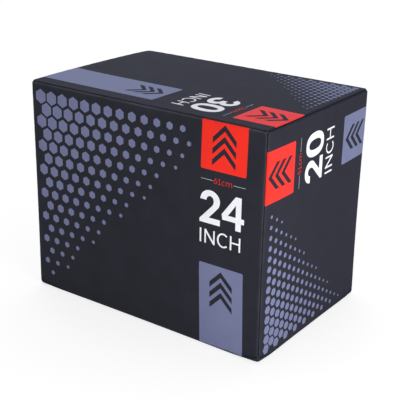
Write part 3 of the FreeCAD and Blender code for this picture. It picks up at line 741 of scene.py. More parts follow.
def zip_tape(settings, name, side, nodes):
    """One woven tape: a thin shell carried along the zip's middle line, on one side of it.

    It goes from the edge that the teeth grip to its outer edge. The UV map runs along and across.
    """
    gripped = settings.zip.tooth_gap
    across = np.linspace(gripped, TAPE, TAPE_LINES)
    total = zip_knots(TAPE_START)[-1]
    along = np.linspace(0, total, ceil(total / TAPE_STEP) + 1)
    if side > 0:
        along = along[::-1]
    middle, outward = zip_path(TAPE_START, along)[:2]
    upper = middle[:, None] + outward[:, None] * (side * across)[:, None]
    lower = upper.copy()
    upper[..., 1] = high("zip_tape_box").y
    lower[..., 1] = low("zip_tape_box").y
    points, faces = shell(upper, lower)[:2]
    cloth = np.tile(points_of(along[:, None], across), (2, 1))
    finish = finish_of("zip tape", woven_tape, settings.finish.tape)
    body = "box" if side > 0 else None
    piece = add_piece(name, points, faces, (finish,), body, nodes, cloth)
    return piece


def ring_stack(count, size):
    """Faces of a closed form of rings: quads between rings, and a fan of quads over each end.

    Each ring has an even number of points, and the first ring's points go clockwise as seen from the last.
    """
    number = np.arange(count * size).reshape(count, size)
    ahead = np.roll(number, -1, axis=1)
    sides = np.stack((number[:-1], number[1:], ahead[1:], ahead[:-1]), -1).reshape(-1, 4)
    half = np.arange(1, size // 2)
    fan = np.stack((half - 1, half, size - 1 - half, size - half), -1) % size
    return np.concatenate((sides, fan, (count - 1) * size + fan[:, ::-1]))


def repeated(unit, faces, middle, outward, forward):
    """Copies of a small form at points of a path: its coordinates go along, outwards and to the rear."""
    rear = np.array((0.0, 1.0, 0.0))
    points = (middle[:, None] + forward[:, None] * unit[:, :1] + outward[:, None] * unit[:, 1:2]
              + rear * unit[:, 2:])
    starts = np.arange(len(middle)) * len(unit)
    return points.reshape(-1, 3), (faces + starts[:, None, None]).reshape(-1, faces.shape[1])


# Rings of a tooth from head to foot: places of the two in the middle from the zip's middle line, widths as
# shares of the pitch and heights as shares of the row's; points in a ring; and the end of the zip that stays
# bare, as a share of the pitch
TOOTH_PLACES = (1.2 * MM, 2.4 * MM)
TOOTH_WIDTHS = np.array((0.20, 0.30, 0.20, 0.30))
TOOTH_HEIGHTS = np.array((0.70, 1.0, 0.85, 1.0))
TOOTH_SIDES = 8
BARE_END = 0.4


def zip_teeth(settings, name, side, nodes):
    """A row of moulded teeth: each a waist between a wide foot on the tape and a round head, as four rings.

    The two rows are half a pitch apart, so that heads of one row face gaps of the other.
    """
    pitch = settings.zip.tooth_pitch
    deep = (high("zip_teeth_box").y - low("zip_teeth_box").y) / 2
    mid = (high("zip_teeth_box").y + low("zip_teeth_box").y) / 2
    angle = np.linspace(0, 2 * pi, TOOTH_SIDES, endpoint=False) + pi / TOOTH_SIDES
    ring = np.stack((np.cos(angle), np.sin(angle))) / np.cos(pi / TOOTH_SIDES)
    away = np.array((settings.zip.tooth_gap, *TOOTH_PLACES, CHAIN))
    unit = points_of(ring[0] * (TOOTH_WIDTHS * pitch)[:, None], side * away[:, None],
                     ring[1] * (TOOTH_HEIGHTS * deep)[:, None] + mid)
    faces = ring_stack(len(away), TOOTH_SIDES)
    if side > 0:
        faces = faces[:, ::-1]
    total = zip_knots(TEETH_START)[-1]
    first = pitch * (0.5 if side > 0 else 1.0)
    along = np.arange(first, total - BARE_END * pitch, pitch)
    points, all_faces = repeated(unit, faces, *zip_path(TEETH_START, along))
    finish = finish_of("zip teeth", moulded_teeth, settings.finish.teeth)
    return add_piece(name, points, all_faces, (finish,), "box" if side > 0 else None, nodes)


# Rings of a stitch from hole to hole: places as shares of the pitch, sizes and heights as shares of half the
# thread's thickness, and points in a ring
STITCH_PLACES = np.array((-0.42, -0.30, 0.0, 0.30, 0.42))
STITCH_SIZES = np.array((0.6, 1.0, 1.0, 1.0, 0.6))
STITCH_HEIGHTS = np.array((-1.2, 0.1, 0.35, 0.1, -1.2))
STITCH_SIDES = 6


def stitch_row(settings, name, side):
    """Stitches in the dip of the turned edge: each thread rises from one hole and sinks into the next."""
    thick = settings.zip.stitch_thick / 2
    pitch = settings.zip.stitch_pitch
    bed = REAR + settings.cover.hem_height * (1 - DIP_DEPTH)
    angle = np.linspace(0, 2 * pi, STITCH_SIDES, endpoint=False)
    size = (STITCH_SIZES * thick)[:, None]
    height = (bed + STITCH_HEIGHTS * thick)[:, None]
    unit = points_of((STITCH_PLACES * pitch)[:, None], np.cos(angle) * size, np.sin(angle) * size + height)
    faces = ring_stack(len(STITCH_PLACES), STITCH_SIDES)
    along = np.arange(pitch / 2, zip_knots(SLOT_START)[-1], pitch)
    middle, outward, forward = zip_path(SLOT_START, along)
    middle = middle + side * (SLOT + settings.zip.stitch_inset) * outward
    points, all_faces = repeated(unit, faces, middle, outward, forward)
    finish = finish_of("thread", twisted_thread, settings.finish.thread)
    return add_piece(name, pull_slack(points), all_faces, (finish,), "box" if side > 0 else None)


# The foam slabs


def foam_slab(settings, face, shrink, rounded, lines=None, dip=None):
    """A foam slab on one face: a flat grid whose outer side falls off in a quarter turn at the box's edges.

    shrink says along which axes a slab ends at its neighbours, and rounded along which of its directions it
    ends at the box's edges. At a corner the square of both turns is mapped to a quarter disc. The inner side
    is drawn in at the rear, under the zip, and pulled by the cover's slack along its own plane only. dip
    gives the depth of a groove in the outer side.
    """
    across, up, out = (np.array(axis, float) for axis in FACES[face][:3])
    edge = settings.foam.edge
    size = FOAM_OUT - FOAM_THICK * np.array(shrink)
    size_u, size_v, reach = np.abs(across) @ size, np.abs(up) @ size, np.abs(out) @ FOAM_OUT
    if lines is None:
        lines = [spaced((-half, edge - half, half - edge, half), 2 * settings.cover.spacing)
                 for half in (size_u, size_v)]
    u, v = np.meshgrid(*lines, indexing="ij")
    past_u = rounded[0] * np.maximum(np.abs(u) - size_u + edge, 0) / edge
    past_v = rounded[1] * np.maximum(np.abs(v) - size_v + edge, 0) / edge
    turn_u = past_u * np.sqrt(1 - past_v ** 2 / 2)
    turn_v = past_v * np.sqrt(1 - past_u ** 2 / 2)
    u = u + np.sign(u) * edge * (turn_u - past_u)
    v = v + np.sign(v) * edge * (turn_v - past_v)
    height = reach - edge * (1 - np.sqrt(np.maximum(1 - turn_u ** 2 - turn_v ** 2, 0)))
    if dip is not None:
        height = height - dip(u, v)
    plan = MIDDLE + u[..., None] * across + v[..., None] * up
    inner = plan + (reach - FOAM_THICK) * out
    at_rear = inner[..., 1] > FOAM_OUT[1] - edge
    inner[..., 1] -= np.where(at_rear, settings.foam.groove_deep, 0.0) * abs(out[2])
    inner += (pull_slack(inner) - inner) * (1 - np.abs(out))
    points, faces = shell(pull_slack(plan + height[..., None] * out), inner)[:2]
    name = "foam_" + face
    finish = finish_of("foam", cell_foam, settings.finish.foam)
    piece = add_piece(name + "_slab", points, faces, (finish,), "box", (name,))
    return piece


# How far the groove goes on past the tape's ends, and the width over which its sides rise
GROOVE_SPARE = 1 * MM
GROOVE_SIDE = 2.5 * MM


def rear_foam(settings):
    """The rear slab, with a groove under the zip: full within its half width, gone just past its sides."""
    fine = 0.6 * settings.cover.spacing
    coarse = 2 * settings.cover.spacing
    groove = settings.foam.groove_half
    start = -TAPE_START + GROOVE_SPARE

    def dip(u, v):
        outside = np.maximum(np.abs(zip_offset(-u, v)) - groove, u - start)
        return settings.foam.groove_deep * (1 - smoothstep(outside / GROOVE_SIDE))

    half = FOAM_OUT[0]
    foot = FOAM_OUT[2] - FOAM_THICK
    turns = (-ZIP_SIDE - groove, -ZIP_SIDE + groove, -TURN_X + groove)
    u = np.concatenate((spaced((-half, *turns), fine), spaced((turns[-1], start, half), coarse)[1:]))
    side = spaced((TURN_Z - groove, ZIP_RUN - groove, foot), fine)
    v = np.concatenate((-side[::-1], spaced((-side[0], side[0]), coarse)[1:-1], side))
    return foam_slab(settings, "rear", (0, 0, 1), (1, 0), (u, v), dip)


# Prints

# Points along each edge of a letter's straight stroke; a round one has twice as many
STROKE_POINTS = 33


def slant(first, first_end, second, second_end):
    """A straight stroke: lines along its lower and its upper edge. It isn't closed on itself."""
    share = np.linspace(0, 1, STROKE_POINTS)[:, None]
    ends = [np.array(point, float) for point in (first, first_end, second, second_end)]
    return ends[0] + (ends[1] - ends[0]) * share, ends[2] + (ends[3] - ends[2]) * share, False


def bar(left, bottom, right, top):
    """An upright or level stroke."""
    return slant((left, bottom), (right, bottom), (left, top), (right, top))


def bow(centre, outer, inner, start=0, end=360, below=1.0, square=1.0):
    """A round stroke: arcs of an inner and an outer ellipse, between two angles in degrees, or closed rings.

    A square below 1 makes both squarer, and below stretches the inner one under its middle.
    """
    closed = abs(end - start) == 360
    angle = np.radians(np.linspace(start, end, 2 * STROKE_POINTS, endpoint=not closed))
    ring = np.stack((np.cos(angle), np.sin(angle)), -1)
    ring = np.sign(ring) * np.abs(ring) ** square
    hole = np.where(ring[:, 1:] < 0, (1.0, below), (1.0, 1.0)) * inner
    return np.array(centre) + ring * hole, np.array(centre) + ring * np.array(outer), closed


# Letters in millimetres: how far each moves the next one on, and its strokes, with the foot at 0
HEAVY = {
    "0": (66.6, (bow((32.8, 43.2), (32, 43.8), (13.4, 29.5), square=0.85),)),
    "2": (66.6, (bow((30.6, 60.5), (29.2, 26.8), (10.8, 11.8), 180, -44, below=1.36),
                 slant((0, 8.6), (38.4, 49.4), (25.8, 13.6), (51.6, 41.9)),
                 slant((0, 8.5), (61, 8.5), (6, 15.5), (61, 15.5)),
                 bar(0, 0, 61, 9))),
    "3": (66.6, (bow((29.8, 62), (29.2, 25), (11, 10.7), 172, -90),
                 bow((30, 24.6), (30.3, 25.2), (12, 10.8), 90, -172),
                 bar(22.5, 35.6, 31, 51.2))),
    "4": (66.6, (bar(40.1, 0, 56, 87),
                 slant((1.5, 20.3), (64.7, 20.3), (-0.9, 34), (64.7, 34)),
                 slant((-0.9, 33.9), (38.9, 87), (17.6, 33.9), (41, 66.5)),
                 bar(38.8, 66, 41, 87))),
}
PLAIN = {
    "I": (14.5, (bar(0, 0, 4.7, 37.3),)),
    "N": (37.9, (bar(0, 0, 4.5, 37.3),
                 bar(26.5, 0, 31, 37.3),
                 slant((26.7, 0), (0.4, 33.5), (31, 2.9), (4, 37.3)))),
    "C": (38.4, (bow((18, 18.7), (18, 19.4), (13.2, 15.3), 314, 46),)),
    "H": (30.8, (bar(0, 0, 4.7, 37.3), bar(26.1, 0, 30.8, 37.3), bar(4.5, 17.8, 26.3, 21.8))),
}
SMALL = {
    "1": (11.5, (bar(4.1, 0, 5.3, 15),
                 bar(1, 0, 8.3, 1.2),
                 slant((1, 10.9), (4.2, 13.6), (1, 12.3), (4.2, 15)))),
    "5": (12, (bar(1.5, 13.8, 8.8, 15),
               bar(1.3, 7.5, 2.5, 15),
               bow((4.4, 4.9), (4.8, 5.1), (3.6, 3.9), 130, -150))),
    "6": (12, (bow((4.7, 4.9), (4.8, 5.1), (3.6, 3.9)),
               slant((0.4, 6.5), (5.8, 15), (1.7, 6.5), (7.2, 15)))),
    "7": (12, (bar(0.4, 13.8, 9, 15), slant((2.8, 0), (7.6, 13.8), (4.1, 0), (9, 13.8)))),
    "c": (12, (bow((5, 5.4), (5, 5.6), (3.8, 4.4), 312, 48),)),
    "m": (18, (bar(0.1, 0, 1.3, 11), bar(8.3, 0, 9.5, 6.6), bar(16.4, 0, 17.6, 6.6),
               bow((4.8, 6.3), (4.7, 4.7), (3.5, 3.5), 180, 0),
               bow((12.9, 6.3), (4.7, 4.7), (3.5, 3.5), 180, 0))),
}

# For each printed face: its number, its metric size, how large the hexagons are beside those of the front
# face, and in millimetres the gaps between the seams and the column's two ends, upper and lower, and the
# distance of the column's middle from the right-hand edge, at the stops down from the top edge
PRINTED = {
    "front": ("24", "61cm", 1.0, (0.4, 3.2), (119.4, 121.1, 121.0, 120.7, 113.2)),
    "right": ("20", "51cm", 0.69, (0.4, 0.4), (118.5, 119.6, 116.4, 115.2, 111.3)),
    "top": ("30", "76cm", 0.5, (2.2, 0.4), (103.5, 105.2, 107.9, 111.0, 111.2)),
}
COLUMN_STOPS = np.array((0, 120, 300, 400, 700)) * MM


def unit_hexagon(divisions):
    """Points and quads of a flat hexagon of radius 1: three diamonds, each a grid along two of its sides."""
    angle = np.radians(30 + 120 * np.arange(3))
    first = np.stack((np.cos(angle), np.sin(angle)), -1)[:, None, None]
    second = np.roll(first, -1, axis=0)
    step = np.linspace(0, 1, divisions + 1)
    diamonds = first * step[:, None, None] + second * step[None, :, None]
    points, label = np.unique(np.round(diamonds.reshape(-1, 2), 6), axis=0, return_inverse=True)
    label = label.reshape(diamonds.shape[:3])
    quads = np.stack((label[:, :-1, :-1], label[:, 1:, :-1], label[:, 1:, 1:], label[:, :-1, 1:]), -1)
    return points, quads.reshape(-1, 4)


# Places in the column: the first arrow's point in the square below the top edge and in the bar below its
# top, the starts of the number and of the word beside the column's left edge, half the width of the metric
# size and its foot below the size line, and the dashes' start, gaps to the metric size and half thickness
SQUARE_ARROW = 8.5 * MM
BAR_ARROW = 13.4 * MM
NUMBER_START = -0.8 * MM
WORD_START = 0.6 * MM
METRIC_HALF = 27 * MM
METRIC_FOOT = 6.7 * MM
DASH_START = 1.2 * MM
DASH_GAPS = (3.5 * MM, 4 * MM)
DASH_HALF = 0.3 * MM

# Arrows in a panel, and the mean distances between the lines of its grid across and down
ARROWS = 3
PANEL_SPACING = (4 * MM, 2.5 * MM)

# Lines between the edges of a letter's stroke, both edges among them, and points along a dash
STROKE_LINES = 7
DASH_POINTS = 12

# How far each layer of ink lies over the last, and how far ink sinks into the cloth as a share of its film
LAYER_STEP = 0.006 * MM
INK_SUNK = 0.3

# The hexagons: most in a row or a column, their margin, the distance over which they fade on the front face,
# the share of it that is left at the corner and the most that counts, and as shares of the pitch the largest
# and the least radius and the first row's place
HEXAGON_COUNT = 40
HEXAGON_MARGIN = 14 * MM
HEXAGON_FADE = 640 * MM
FADE_AT_CORNER = 1.06
FADE_AT_MOST = 0.95
HEXAGON_RADIUS = 0.53
HEXAGON_LEAST = 0.13
HEXAGON_ROW = 0.6


def plate(faces, count):
    """Faces of a closed plate: flat faces, their underside and a wall along each edge of one face only."""
    edges = np.stack((faces, np.roll(faces, -1, axis=1)), -1).reshape(-1, 2)
    rim = edges[~np.isin(edges[:, 0] * count + edges[:, 1], edges[:, 1] * count + edges[:, 0])]
    walls = np.stack((rim[:, 1], rim[:, 0], rim[:, 0] + count, rim[:, 1] + count), -1)
    return np.concatenate((faces, faces[:, ::-1] + count, walls))


class PrintSheet:
    """The ink on one face. Places are across from the column's middle and down from the face's top edge."""

    def __init__(self, settings, face):
        self.settings = settings
        self.sizes = settings.prints
        self.face = face
        self.number, self.metric, self.hexagon_scale, self.gaps, self.line = PRINTED[face]
        across, up = FACES[face][:2]
        self.half_u = np.abs(across) @ HALF
        self.half_v = np.abs(up) @ HALF
        self.limit_u, self.limit_v = cloth_limits(face)
        self.films = {"red": [], "grey": [], "white": []}

    def middle(self, down):
        """The column's middle at distances down from the top edge. It wanders a little, as it was sewn."""
        return self.half_u - np.interp(down, COLUMN_STOPS, self.line) * MM

    def film(self, u, v, layer=0):
        """Upper and lower points of ink over the cloth, each layer a hair higher, so that none coincide."""
        lift = self.sizes.film + LAYER_STEP * layer
        return (cover_point(self.settings.cover, self.face, u, v, lift),
                cover_point(self.settings.cover, self.face, u, v, -INK_SUNK * self.sizes.film))

    def ink(self, name, across, down, keep=None, closed=False, layer=0):
        """Lay a film over a grid of places."""
        u, v, keep = facing_out(self.middle(down) + across, self.half_v - down, keep)
        points, faces = shell(*self.film(u, v, layer), keep, closed)[:2]
        self.films[name].append(used_only(points, faces))

    def arrows(self, name, top, bottom, first):
        """A panel of ink with its arrows left bare.

        Its lines across follow the arrows: each drops with the distance from the middle until the arrow's
        ends. The lines between are spaced by a cosine, and the cells inside an arrow are left out. The bar's
        upper and the square's lower corners are round.
        """
        sizes = self.sizes
        half = sizes.column / 2
        bend = half - sizes.corner
        stops = (-half, -bend, -sizes.arrow_half, 0.0, sizes.arrow_half, bend, half)
        places = spaced(stops, PANEL_SPACING[0])
        drop = sizes.arrow_drop * np.minimum(np.abs(places) / sizes.arrow_half, 1.0)
        past = np.maximum(np.abs(places) - bend, 0)
        turn = sizes.corner - np.sqrt(np.maximum(sizes.corner ** 2 - past ** 2, 0))
        lines = [top + turn * (name == "grey")]
        for arrow in range(ARROWS):
            apex = first + arrow * sizes.arrow_pitch
            lines += [apex + drop, apex + sizes.arrow_thick + drop]
        lines.append(bottom - turn * (name == "red"))
        rows = [lines[0][:, None]]
        bare = []
        for band, (above, below) in enumerate(zip(lines, lines[1:])):
            share = spaced((0.0, 1.0), PANEL_SPACING[1] / np.max(below - above))[1:]
            rows.append(above[:, None] + (below - above)[:, None] * share)
            bare += [band % 2 == 1] * len(share)
        down = np.concatenate(rows, 1)
        across = np.repeat(places[:, None], down.shape[1], 1)
        inside = np.abs(places[1:] + places[:-1]) / 2 < sizes.arrow_half
        self.ink(name, across, down, ~(inside[:, None] & np.array(bare)[None, :]))

    def text(self, name, letters, words, left, foot):
        """A row of letters: each stroke is a ruled surface between its two edges."""
        share = np.linspace(0, 1, STROKE_LINES)[:, None]
        for letter in words:
            step, strokes = letters[letter]
            for layer, (first, second, closed) in enumerate(strokes):
                edge = first[:, None] + (second - first)[:, None] * share
                self.ink(name, left + edge[..., 0] * MM, foot - edge[..., 1] * MM, None, closed, layer)
            left += step * MM

    def dash(self, left, right):
        """A thin level line beside the metric size."""
        thick = np.array((-1.0, 0.0, 1.0)) * DASH_HALF
        across, down = np.meshgrid(np.linspace(left, right, DASH_POINTS), thick, indexing="ij")
        self.ink("white", across, self.sizes.size_line + down)

    def hexagons(self):
        """Hexagons on a staggered lattice that shrink along the diagonal from the face's upper left corner.

        A hexagon's radius goes with the square root of the share of the way that is left. Those that would
        reach a seam or the column are left out.
        """
        pitch = self.sizes.hexagon_pitch * self.hexagon_scale
        count = np.arange(HEXAGON_COUNT)
        place, row = np.meshgrid(count, count, indexing="ij")
        u = HEXAGON_MARGIN - self.limit_u + pitch * (0.5 + place + 0.5 * (row % 2))
        v = self.limit_v - HEXAGON_MARGIN - pitch * (HEXAGON_ROW + row * sqrt(3) / 2)
        way = (u + self.limit_u + self.limit_v - v) / (HEXAGON_FADE * self.hexagon_scale)
        radius = HEXAGON_RADIUS * pitch * np.sqrt(np.clip(FADE_AT_CORNER - way, 0, FADE_AT_MOST))
        column = self.middle(self.half_v - v) - self.sizes.column / 2
        clear = (u + radius < column - HEXAGON_MARGIN) & (v - radius > HEXAGON_MARGIN - self.limit_v)
        shown = clear & (radius > HEXAGON_LEAST * pitch)
        shape, quads = unit_hexagon(2)
        film = self.film(u[shown][:, None] + radius[shown][:, None] * shape[:, 0],
                         v[shown][:, None] + radius[shown][:, None] * shape[:, 1])
        points = np.concatenate(film, 1)
        faces = plate(quads, len(shape))
        starts = np.arange(len(points)) * points.shape[1]
        self.films["grey"].append((points.reshape(-1, 3), (faces + starts[:, None, None]).reshape(-1, 4)))

    def lay(self):
        """All the ink of the face, as one piece for each colour."""
        sizes = self.sizes
        left = -sizes.column / 2
        upper_end = self.half_v - self.limit_v + self.gaps[0] * MM
        lower_end = self.half_v + self.limit_v - self.gaps[1] * MM
        self.arrows("red", upper_end, sizes.square_end, SQUARE_ARROW)
        self.arrows("grey", sizes.bar_top, lower_end, sizes.bar_top + BAR_ARROW)
        self.text("white", HEAVY, self.number, left + NUMBER_START, sizes.number_foot)
        self.text("white", PLAIN, "INCH", left + WORD_START, sizes.word_foot)
        self.text("red", SMALL, self.metric, -METRIC_HALF, sizes.size_line + METRIC_FOOT)
        self.dash(left + DASH_START, -METRIC_HALF - DASH_GAPS[0])
        self.dash(METRIC_HALF + DASH_GAPS[1], -left)
        self.hexagons()
        for name, films in self.films.items():
            points, faces = merged(films)
            finish = finish_of(name + " ink", screen_ink, getattr(self.settings.finish, name))
            add_piece(f"print_{self.face}_{name}", points, faces, (finish,), "box")


# Node groups: effects that more than one finish uses


class Nodes:
    """A short way to add and link the nodes of one tree."""

    def __init__(self, tree):
        self.tree = tree

    def fill(self, node, inputs):
        """Set a node's inputs, each to a value or to another node's output."""
        for name, value in inputs.items():
            if isinstance(value, bpy.types.NodeSocket):
                self.tree.links.new(value, node.inputs[name])
            else:
                node.inputs[name].default_value = value
        return node

    def add(self, kind, inputs=None, **settings):
        """A node with its settings and inputs."""
        node = self.tree.nodes.new(kind)
        for name, value in settings.items():
            setattr(node, name, value)
        return self.fill(node, inputs or {})

    def group(self, tree, inputs):
        """A shared effect with its inputs; returns its outputs."""
        return self.add("ShaderNodeGroup", inputs, node_tree=tree).outputs

    def math(self, operation, *values):
        """A Math node's output."""
        return self.add("ShaderNodeMath", dict(enumerate(values)), operation=operation).outputs[0]

    def mix(self, share, first, second):
        """A colour between two others."""
        return self.add("ShaderNodeMix", {0: share, 6: first, 7: second}, data_type="RGBA").outputs[2]

    def spread(self, value, lowest, highest):
        """A value from 0 to 1 spread over another range."""
        return self.add("ShaderNodeMapRange", {0: value, 3: lowest, 4: highest}).outputs[0]

    def bump(self, height, distance):
        """A normal from a height, which counts over a distance in metres."""
        return self.add("ShaderNodeBump", {"Height": height, "Distance": distance}).outputs[0]

    def noise(self, place, scale, detail=2.0):
        """A Noise texture's value."""
        inputs = {"Vector": place, "Scale": scale, "Detail": detail}
        return self.add("ShaderNodeTexNoise", inputs).outputs[0]

    def object_place(self):
        """A point's place on the piece, in metres."""
        return self.add("ShaderNodeTexCoord").outputs["Object"]

    def cloth_place(self):
        """A point's place on the flat cloth, in metres."""
        return self.add("ShaderNodeUVMap", uv_map="cloth").outputs[0]

    def split(self, place):
        """The three coordinates of a place."""
        return self.add("ShaderNodeSeparateXYZ", {0: place}).outputs

    def joined(self, parts, order):
        """A place whose coordinates are parts of another, in the order given."""
        inputs = {to: parts[axis] for to, axis in enumerate(order)}
        return self.add("ShaderNodeCombineXYZ", inputs).outputs[0]

    def drawn(self, place, scale):
        """A place with its coordinates scaled, so that a pattern on it is drawn out."""
        return self.add("ShaderNodeVectorMath", {0: place, 1: scale}, operation="MULTIPLY").outputs[0]


def shared_group(name, size, outputs, build):
    """The node group of that name, built the first time that it is asked for.

    Its inputs are a place and a named size, and its outputs are values.
    """
    found = bpy.data.node_groups.get(name)
    if found:
        return found
    tree = bpy.data.node_groups.new(name, "ShaderNodeTree")
    tree.interface.new_socket("Place", in_out="INPUT", socket_type="NodeSocketVector")
    tree.interface.new_socket(size, in_out="INPUT", socket_type="NodeSocketFloat")
    for output in outputs:
        tree.interface.new_socket(output, in_out="OUTPUT", socket_type="NodeSocketFloat")
    nodes = Nodes(tree)
    made = build(nodes, nodes.add("NodeGroupInput").outputs)
    nodes.add("NodeGroupOutput", made)
    return tree


def pebble_grain():
    """Grain of a coated cloth: domes of a cell pattern with fine noise on them, and slow mottling."""
    def build(nodes, given):
        scale = nodes.math("DIVIDE", 1.0, given["Pebble"])
        cells = {"Vector": given["Place"], "Scale": scale, "Smoothness": 0.6}
        dome = nodes.add("ShaderNodeTexVoronoi", cells, feature="SMOOTH_F1").outputs["Distance"]
        fine = nodes.noise(given["Place"], nodes.math("MULTIPLY", scale, 3.1))
        height = nodes.math("MULTIPLY_ADD", fine, 0.25, nodes.math("SUBTRACT", 1.0, dome))
        slow = nodes.noise(given["Place"], nodes.math("MULTIPLY", scale, 0.02), 4.0)
        mottle = nodes.add("ShaderNodeMapRange", {0: slow, 1: 0.3, 2: 0.7}).outputs[0]
        return {"Height": height, "Mottle": mottle}
    return shared_group("pebble grain", "Pebble", ("Height", "Mottle"), build)


def plain_weave():
    """A plain weave: yarns as sine humps across and along, with the one on top chosen by a chessboard."""
    def build(nodes, given):
        split = nodes.split(given["Place"])
        yarns = [nodes.math("DIVIDE", split[axis], given["Yarn"]) for axis in (0, 1)]
        waves = [nodes.math("SINE", nodes.math("MULTIPLY", yarn, pi)) for yarn in yarns]
        humps = [nodes.math("ABSOLUTE", wave) for wave in waves]
        board = nodes.math("ADD", *(nodes.math("FLOOR", yarn) for yarn in yarns))
        over = nodes.math("FLOORED_MODULO", board, 2.0)
        under = nodes.math("SUBTRACT", 1.0, over)
        shown = [nodes.math("MULTIPLY", hump, share) for hump, share in zip(humps, (over, under))]
        top = nodes.math("MAXIMUM", *shown)
        fuzz = nodes.noise(given["Place"], nodes.math("DIVIDE", 0.35, given["Yarn"]), 3.0)
        return {"Height": top, "Shade": nodes.math("MULTIPLY", nodes.spread(top, 0.35, 1.0), fuzz)}
    return shared_group("plain weave", "Yarn", ("Height", "Shade"), build)


def wood_figure():
    """Wood with its grain along X: bent bands of growth rings, and fine streaks of pores."""
    def build(nodes, given):
        drawn = nodes.drawn(given["Place"], (0.07, 1.0, 1.0))
        scale = nodes.math("DIVIDE", 0.3, given["Ring"])
        bands = {"Vector": drawn, "Scale": scale, "Distortion": 5.0, "Detail": 3.0, "Detail Scale": 0.6}
        rings = nodes.add("ShaderNodeTexWave", bands, bands_direction="Y").outputs["Fac"]
        pores = nodes.noise(drawn, nodes.math("DIVIDE", 4.0, given["Ring"]), 4.0)
        return {"Rings": rings, "Pores": pores}
    return shared_group("wood figure", "Ring", ("Rings", "Pores"), build)


def fine_wear():
    """Wear of a hard surface: drawn-out scratches and soft smudges."""
    def build(nodes, given):
        scale = nodes.math("DIVIDE", 1.0, given["Size"])
        scratch = nodes.noise(nodes.drawn(given["Place"], (1.0, 1.0, 0.12)), scale, 5.0)
        smudge = nodes.noise(given["Place"], nodes.math("MULTIPLY", scale, 0.2), 3.0)
        return {"Scratch": scratch, "Smudge": smudge}
    return shared_group("fine wear", "Size", ("Scratch", "Smudge"), build)


# Finishes: each function fills in the nodes of one material


def rgba(tone, factor=1.0):
    """A colour with its alpha, made lighter or darker by a factor."""
    return (*(min(value * factor, 1.0) for value in tone), 1.0)


def finish_of(name, fill, *values):
    """The material of that name, filled in the first time that it is asked for."""
    found = bpy.data.materials.get(name)
    if found:
        return found
    material = bpy.data.materials.new(name)
    material.use_nodes = True
    nodes = Nodes(material.node_tree)
    nodes.fill(material.node_tree.nodes["Principled BSDF"], fill(nodes, *values))
    return material


# Size of a pebble in the cloth's grain, which shows through the ink too
PEBBLE = 1.1 * MM


def vinyl(nodes, tone):
    """Coated cloth: pebble grain, mottled colour and gloss, painted highlight and painted shade at seams."""
    grain = nodes.group(pebble_grain(), {"Place": nodes.object_place(), "Pebble": PEBBLE})
    # Painted light beside seams: painted highlight above 0, painted shade below 0
    rub = nodes.add("ShaderNodeAttribute", attribute_name="rub").outputs["Fac"]
    # Painted highlight: the rolls lightened towards nearly four times the tone
    roll_highlight = nodes.math("MULTIPLY", nodes.math("MAXIMUM", rub, 0.0), nodes.spread(grain["Mottle"], 0.14, 0.34))
    # Painted shade: the creases darkened towards a quarter of the tone
    deep = nodes.math("MAXIMUM", nodes.math("MULTIPLY", rub, -1.0), 0.0)
    body = nodes.mix(grain["Mottle"], rgba(tone, 0.9), rgba(tone, 1.12))
    rolled = nodes.mix(roll_highlight, body, rgba(tone, 3.8))
    return {"Base Color": nodes.mix(deep, rolled, rgba(tone, 0.25)),
            "Roughness": nodes.spread(grain["Mottle"], 0.62, 0.72),
            "Specular IOR Level": 0.036,
            "Sheen Weight": 0.05,
            "Sheen Roughness": 0.4,
            "Sheen Tint": (0.15, 0.35, 1.0, 1.0),
            "Normal": nodes.bump(grain["Height"], 0.05 * MM)}


def screen_ink(nodes, tone):
    """Ink on the coated cloth: the cloth's grain comes through softly, and the colour is a little uneven."""
    grain = nodes.group(pebble_grain(), {"Place": nodes.object_place(), "Pebble": PEBBLE})
    return {"Base Color": nodes.mix(grain["Mottle"], rgba(tone, 0.95), rgba(tone, 1.03)),
            "Roughness": nodes.spread(grain["Mottle"], 0.60, 0.70),
            "Specular IOR Level": 0.06,
            "Sheen Weight": 0.30,
            "Sheen Roughness": 0.4,
            "Sheen Tint": (0.50, 0.62, 1.0, 1.0),
            "Normal": nodes.bump(grain["Height"], 0.03 * MM)}


def backing(nodes, tone):
    """Woven back of the coated cloth."""
    weave = nodes.group(plain_weave(), {"Place": nodes.cloth_place(), "Yarn": 0.8 * MM})
    return {"Base Color": nodes.mix(weave["Shade"], rgba(tone, 0.45), rgba(tone, 1.6)),
            "Roughness": nodes.spread(weave["Shade"], 0.95, 0.8),
            "Specular IOR Level": 0.2,
            "Normal": nodes.bump(weave["Height"], 0.15 * MM)}


def woven_tape(nodes, tone):
    """Close-woven polyester tape with a slight sheen."""
    weave = nodes.group(plain_weave(), {"Place": nodes.cloth_place(), "Yarn": 0.55 * MM})
    return {"Base Color": nodes.mix(weave["Shade"], rgba(tone, 0.6), rgba(tone, 1.8)),
            "Roughness": nodes.spread(weave["Shade"], 0.85, 0.6),
            "Specular IOR Level": 0.3,
            "Normal": nodes.bump(weave["Height"], 0.12 * MM)}


def twisted_thread(nodes, tone):
    """Bonded thread: slanting bands of its twist."""
    place = nodes.object_place()
    bands = {"Vector": place, "Scale": 420.0, "Distortion": 1.5}
    twist = nodes.add("ShaderNodeTexWave", bands, bands_direction="DIAGONAL").outputs["Fac"]
    return {"Base Color": nodes.mix(twist, rgba(tone, 0.5), rgba(tone, 1.9)),
            "Roughness": nodes.spread(twist, 0.65, 0.45),
            "Specular IOR Level": 0.35,
            "Normal": nodes.bump(twist, 0.06 * MM)}


def moulded_teeth(nodes, tone):
    """Moulded plastic with smudged colour and scratched gloss."""
    wear = nodes.group(fine_wear(), {"Place": nodes.object_place(), "Size": 0.8 * MM})
    return {"Base Color": nodes.mix(wear["Smudge"], rgba(tone, 0.7), rgba(tone, 1.5)),
            "Roughness": nodes.spread(wear["Scratch"], 0.28, 0.5),
            "Normal": nodes.bump(wear["Scratch"], 0.01 * MM)}


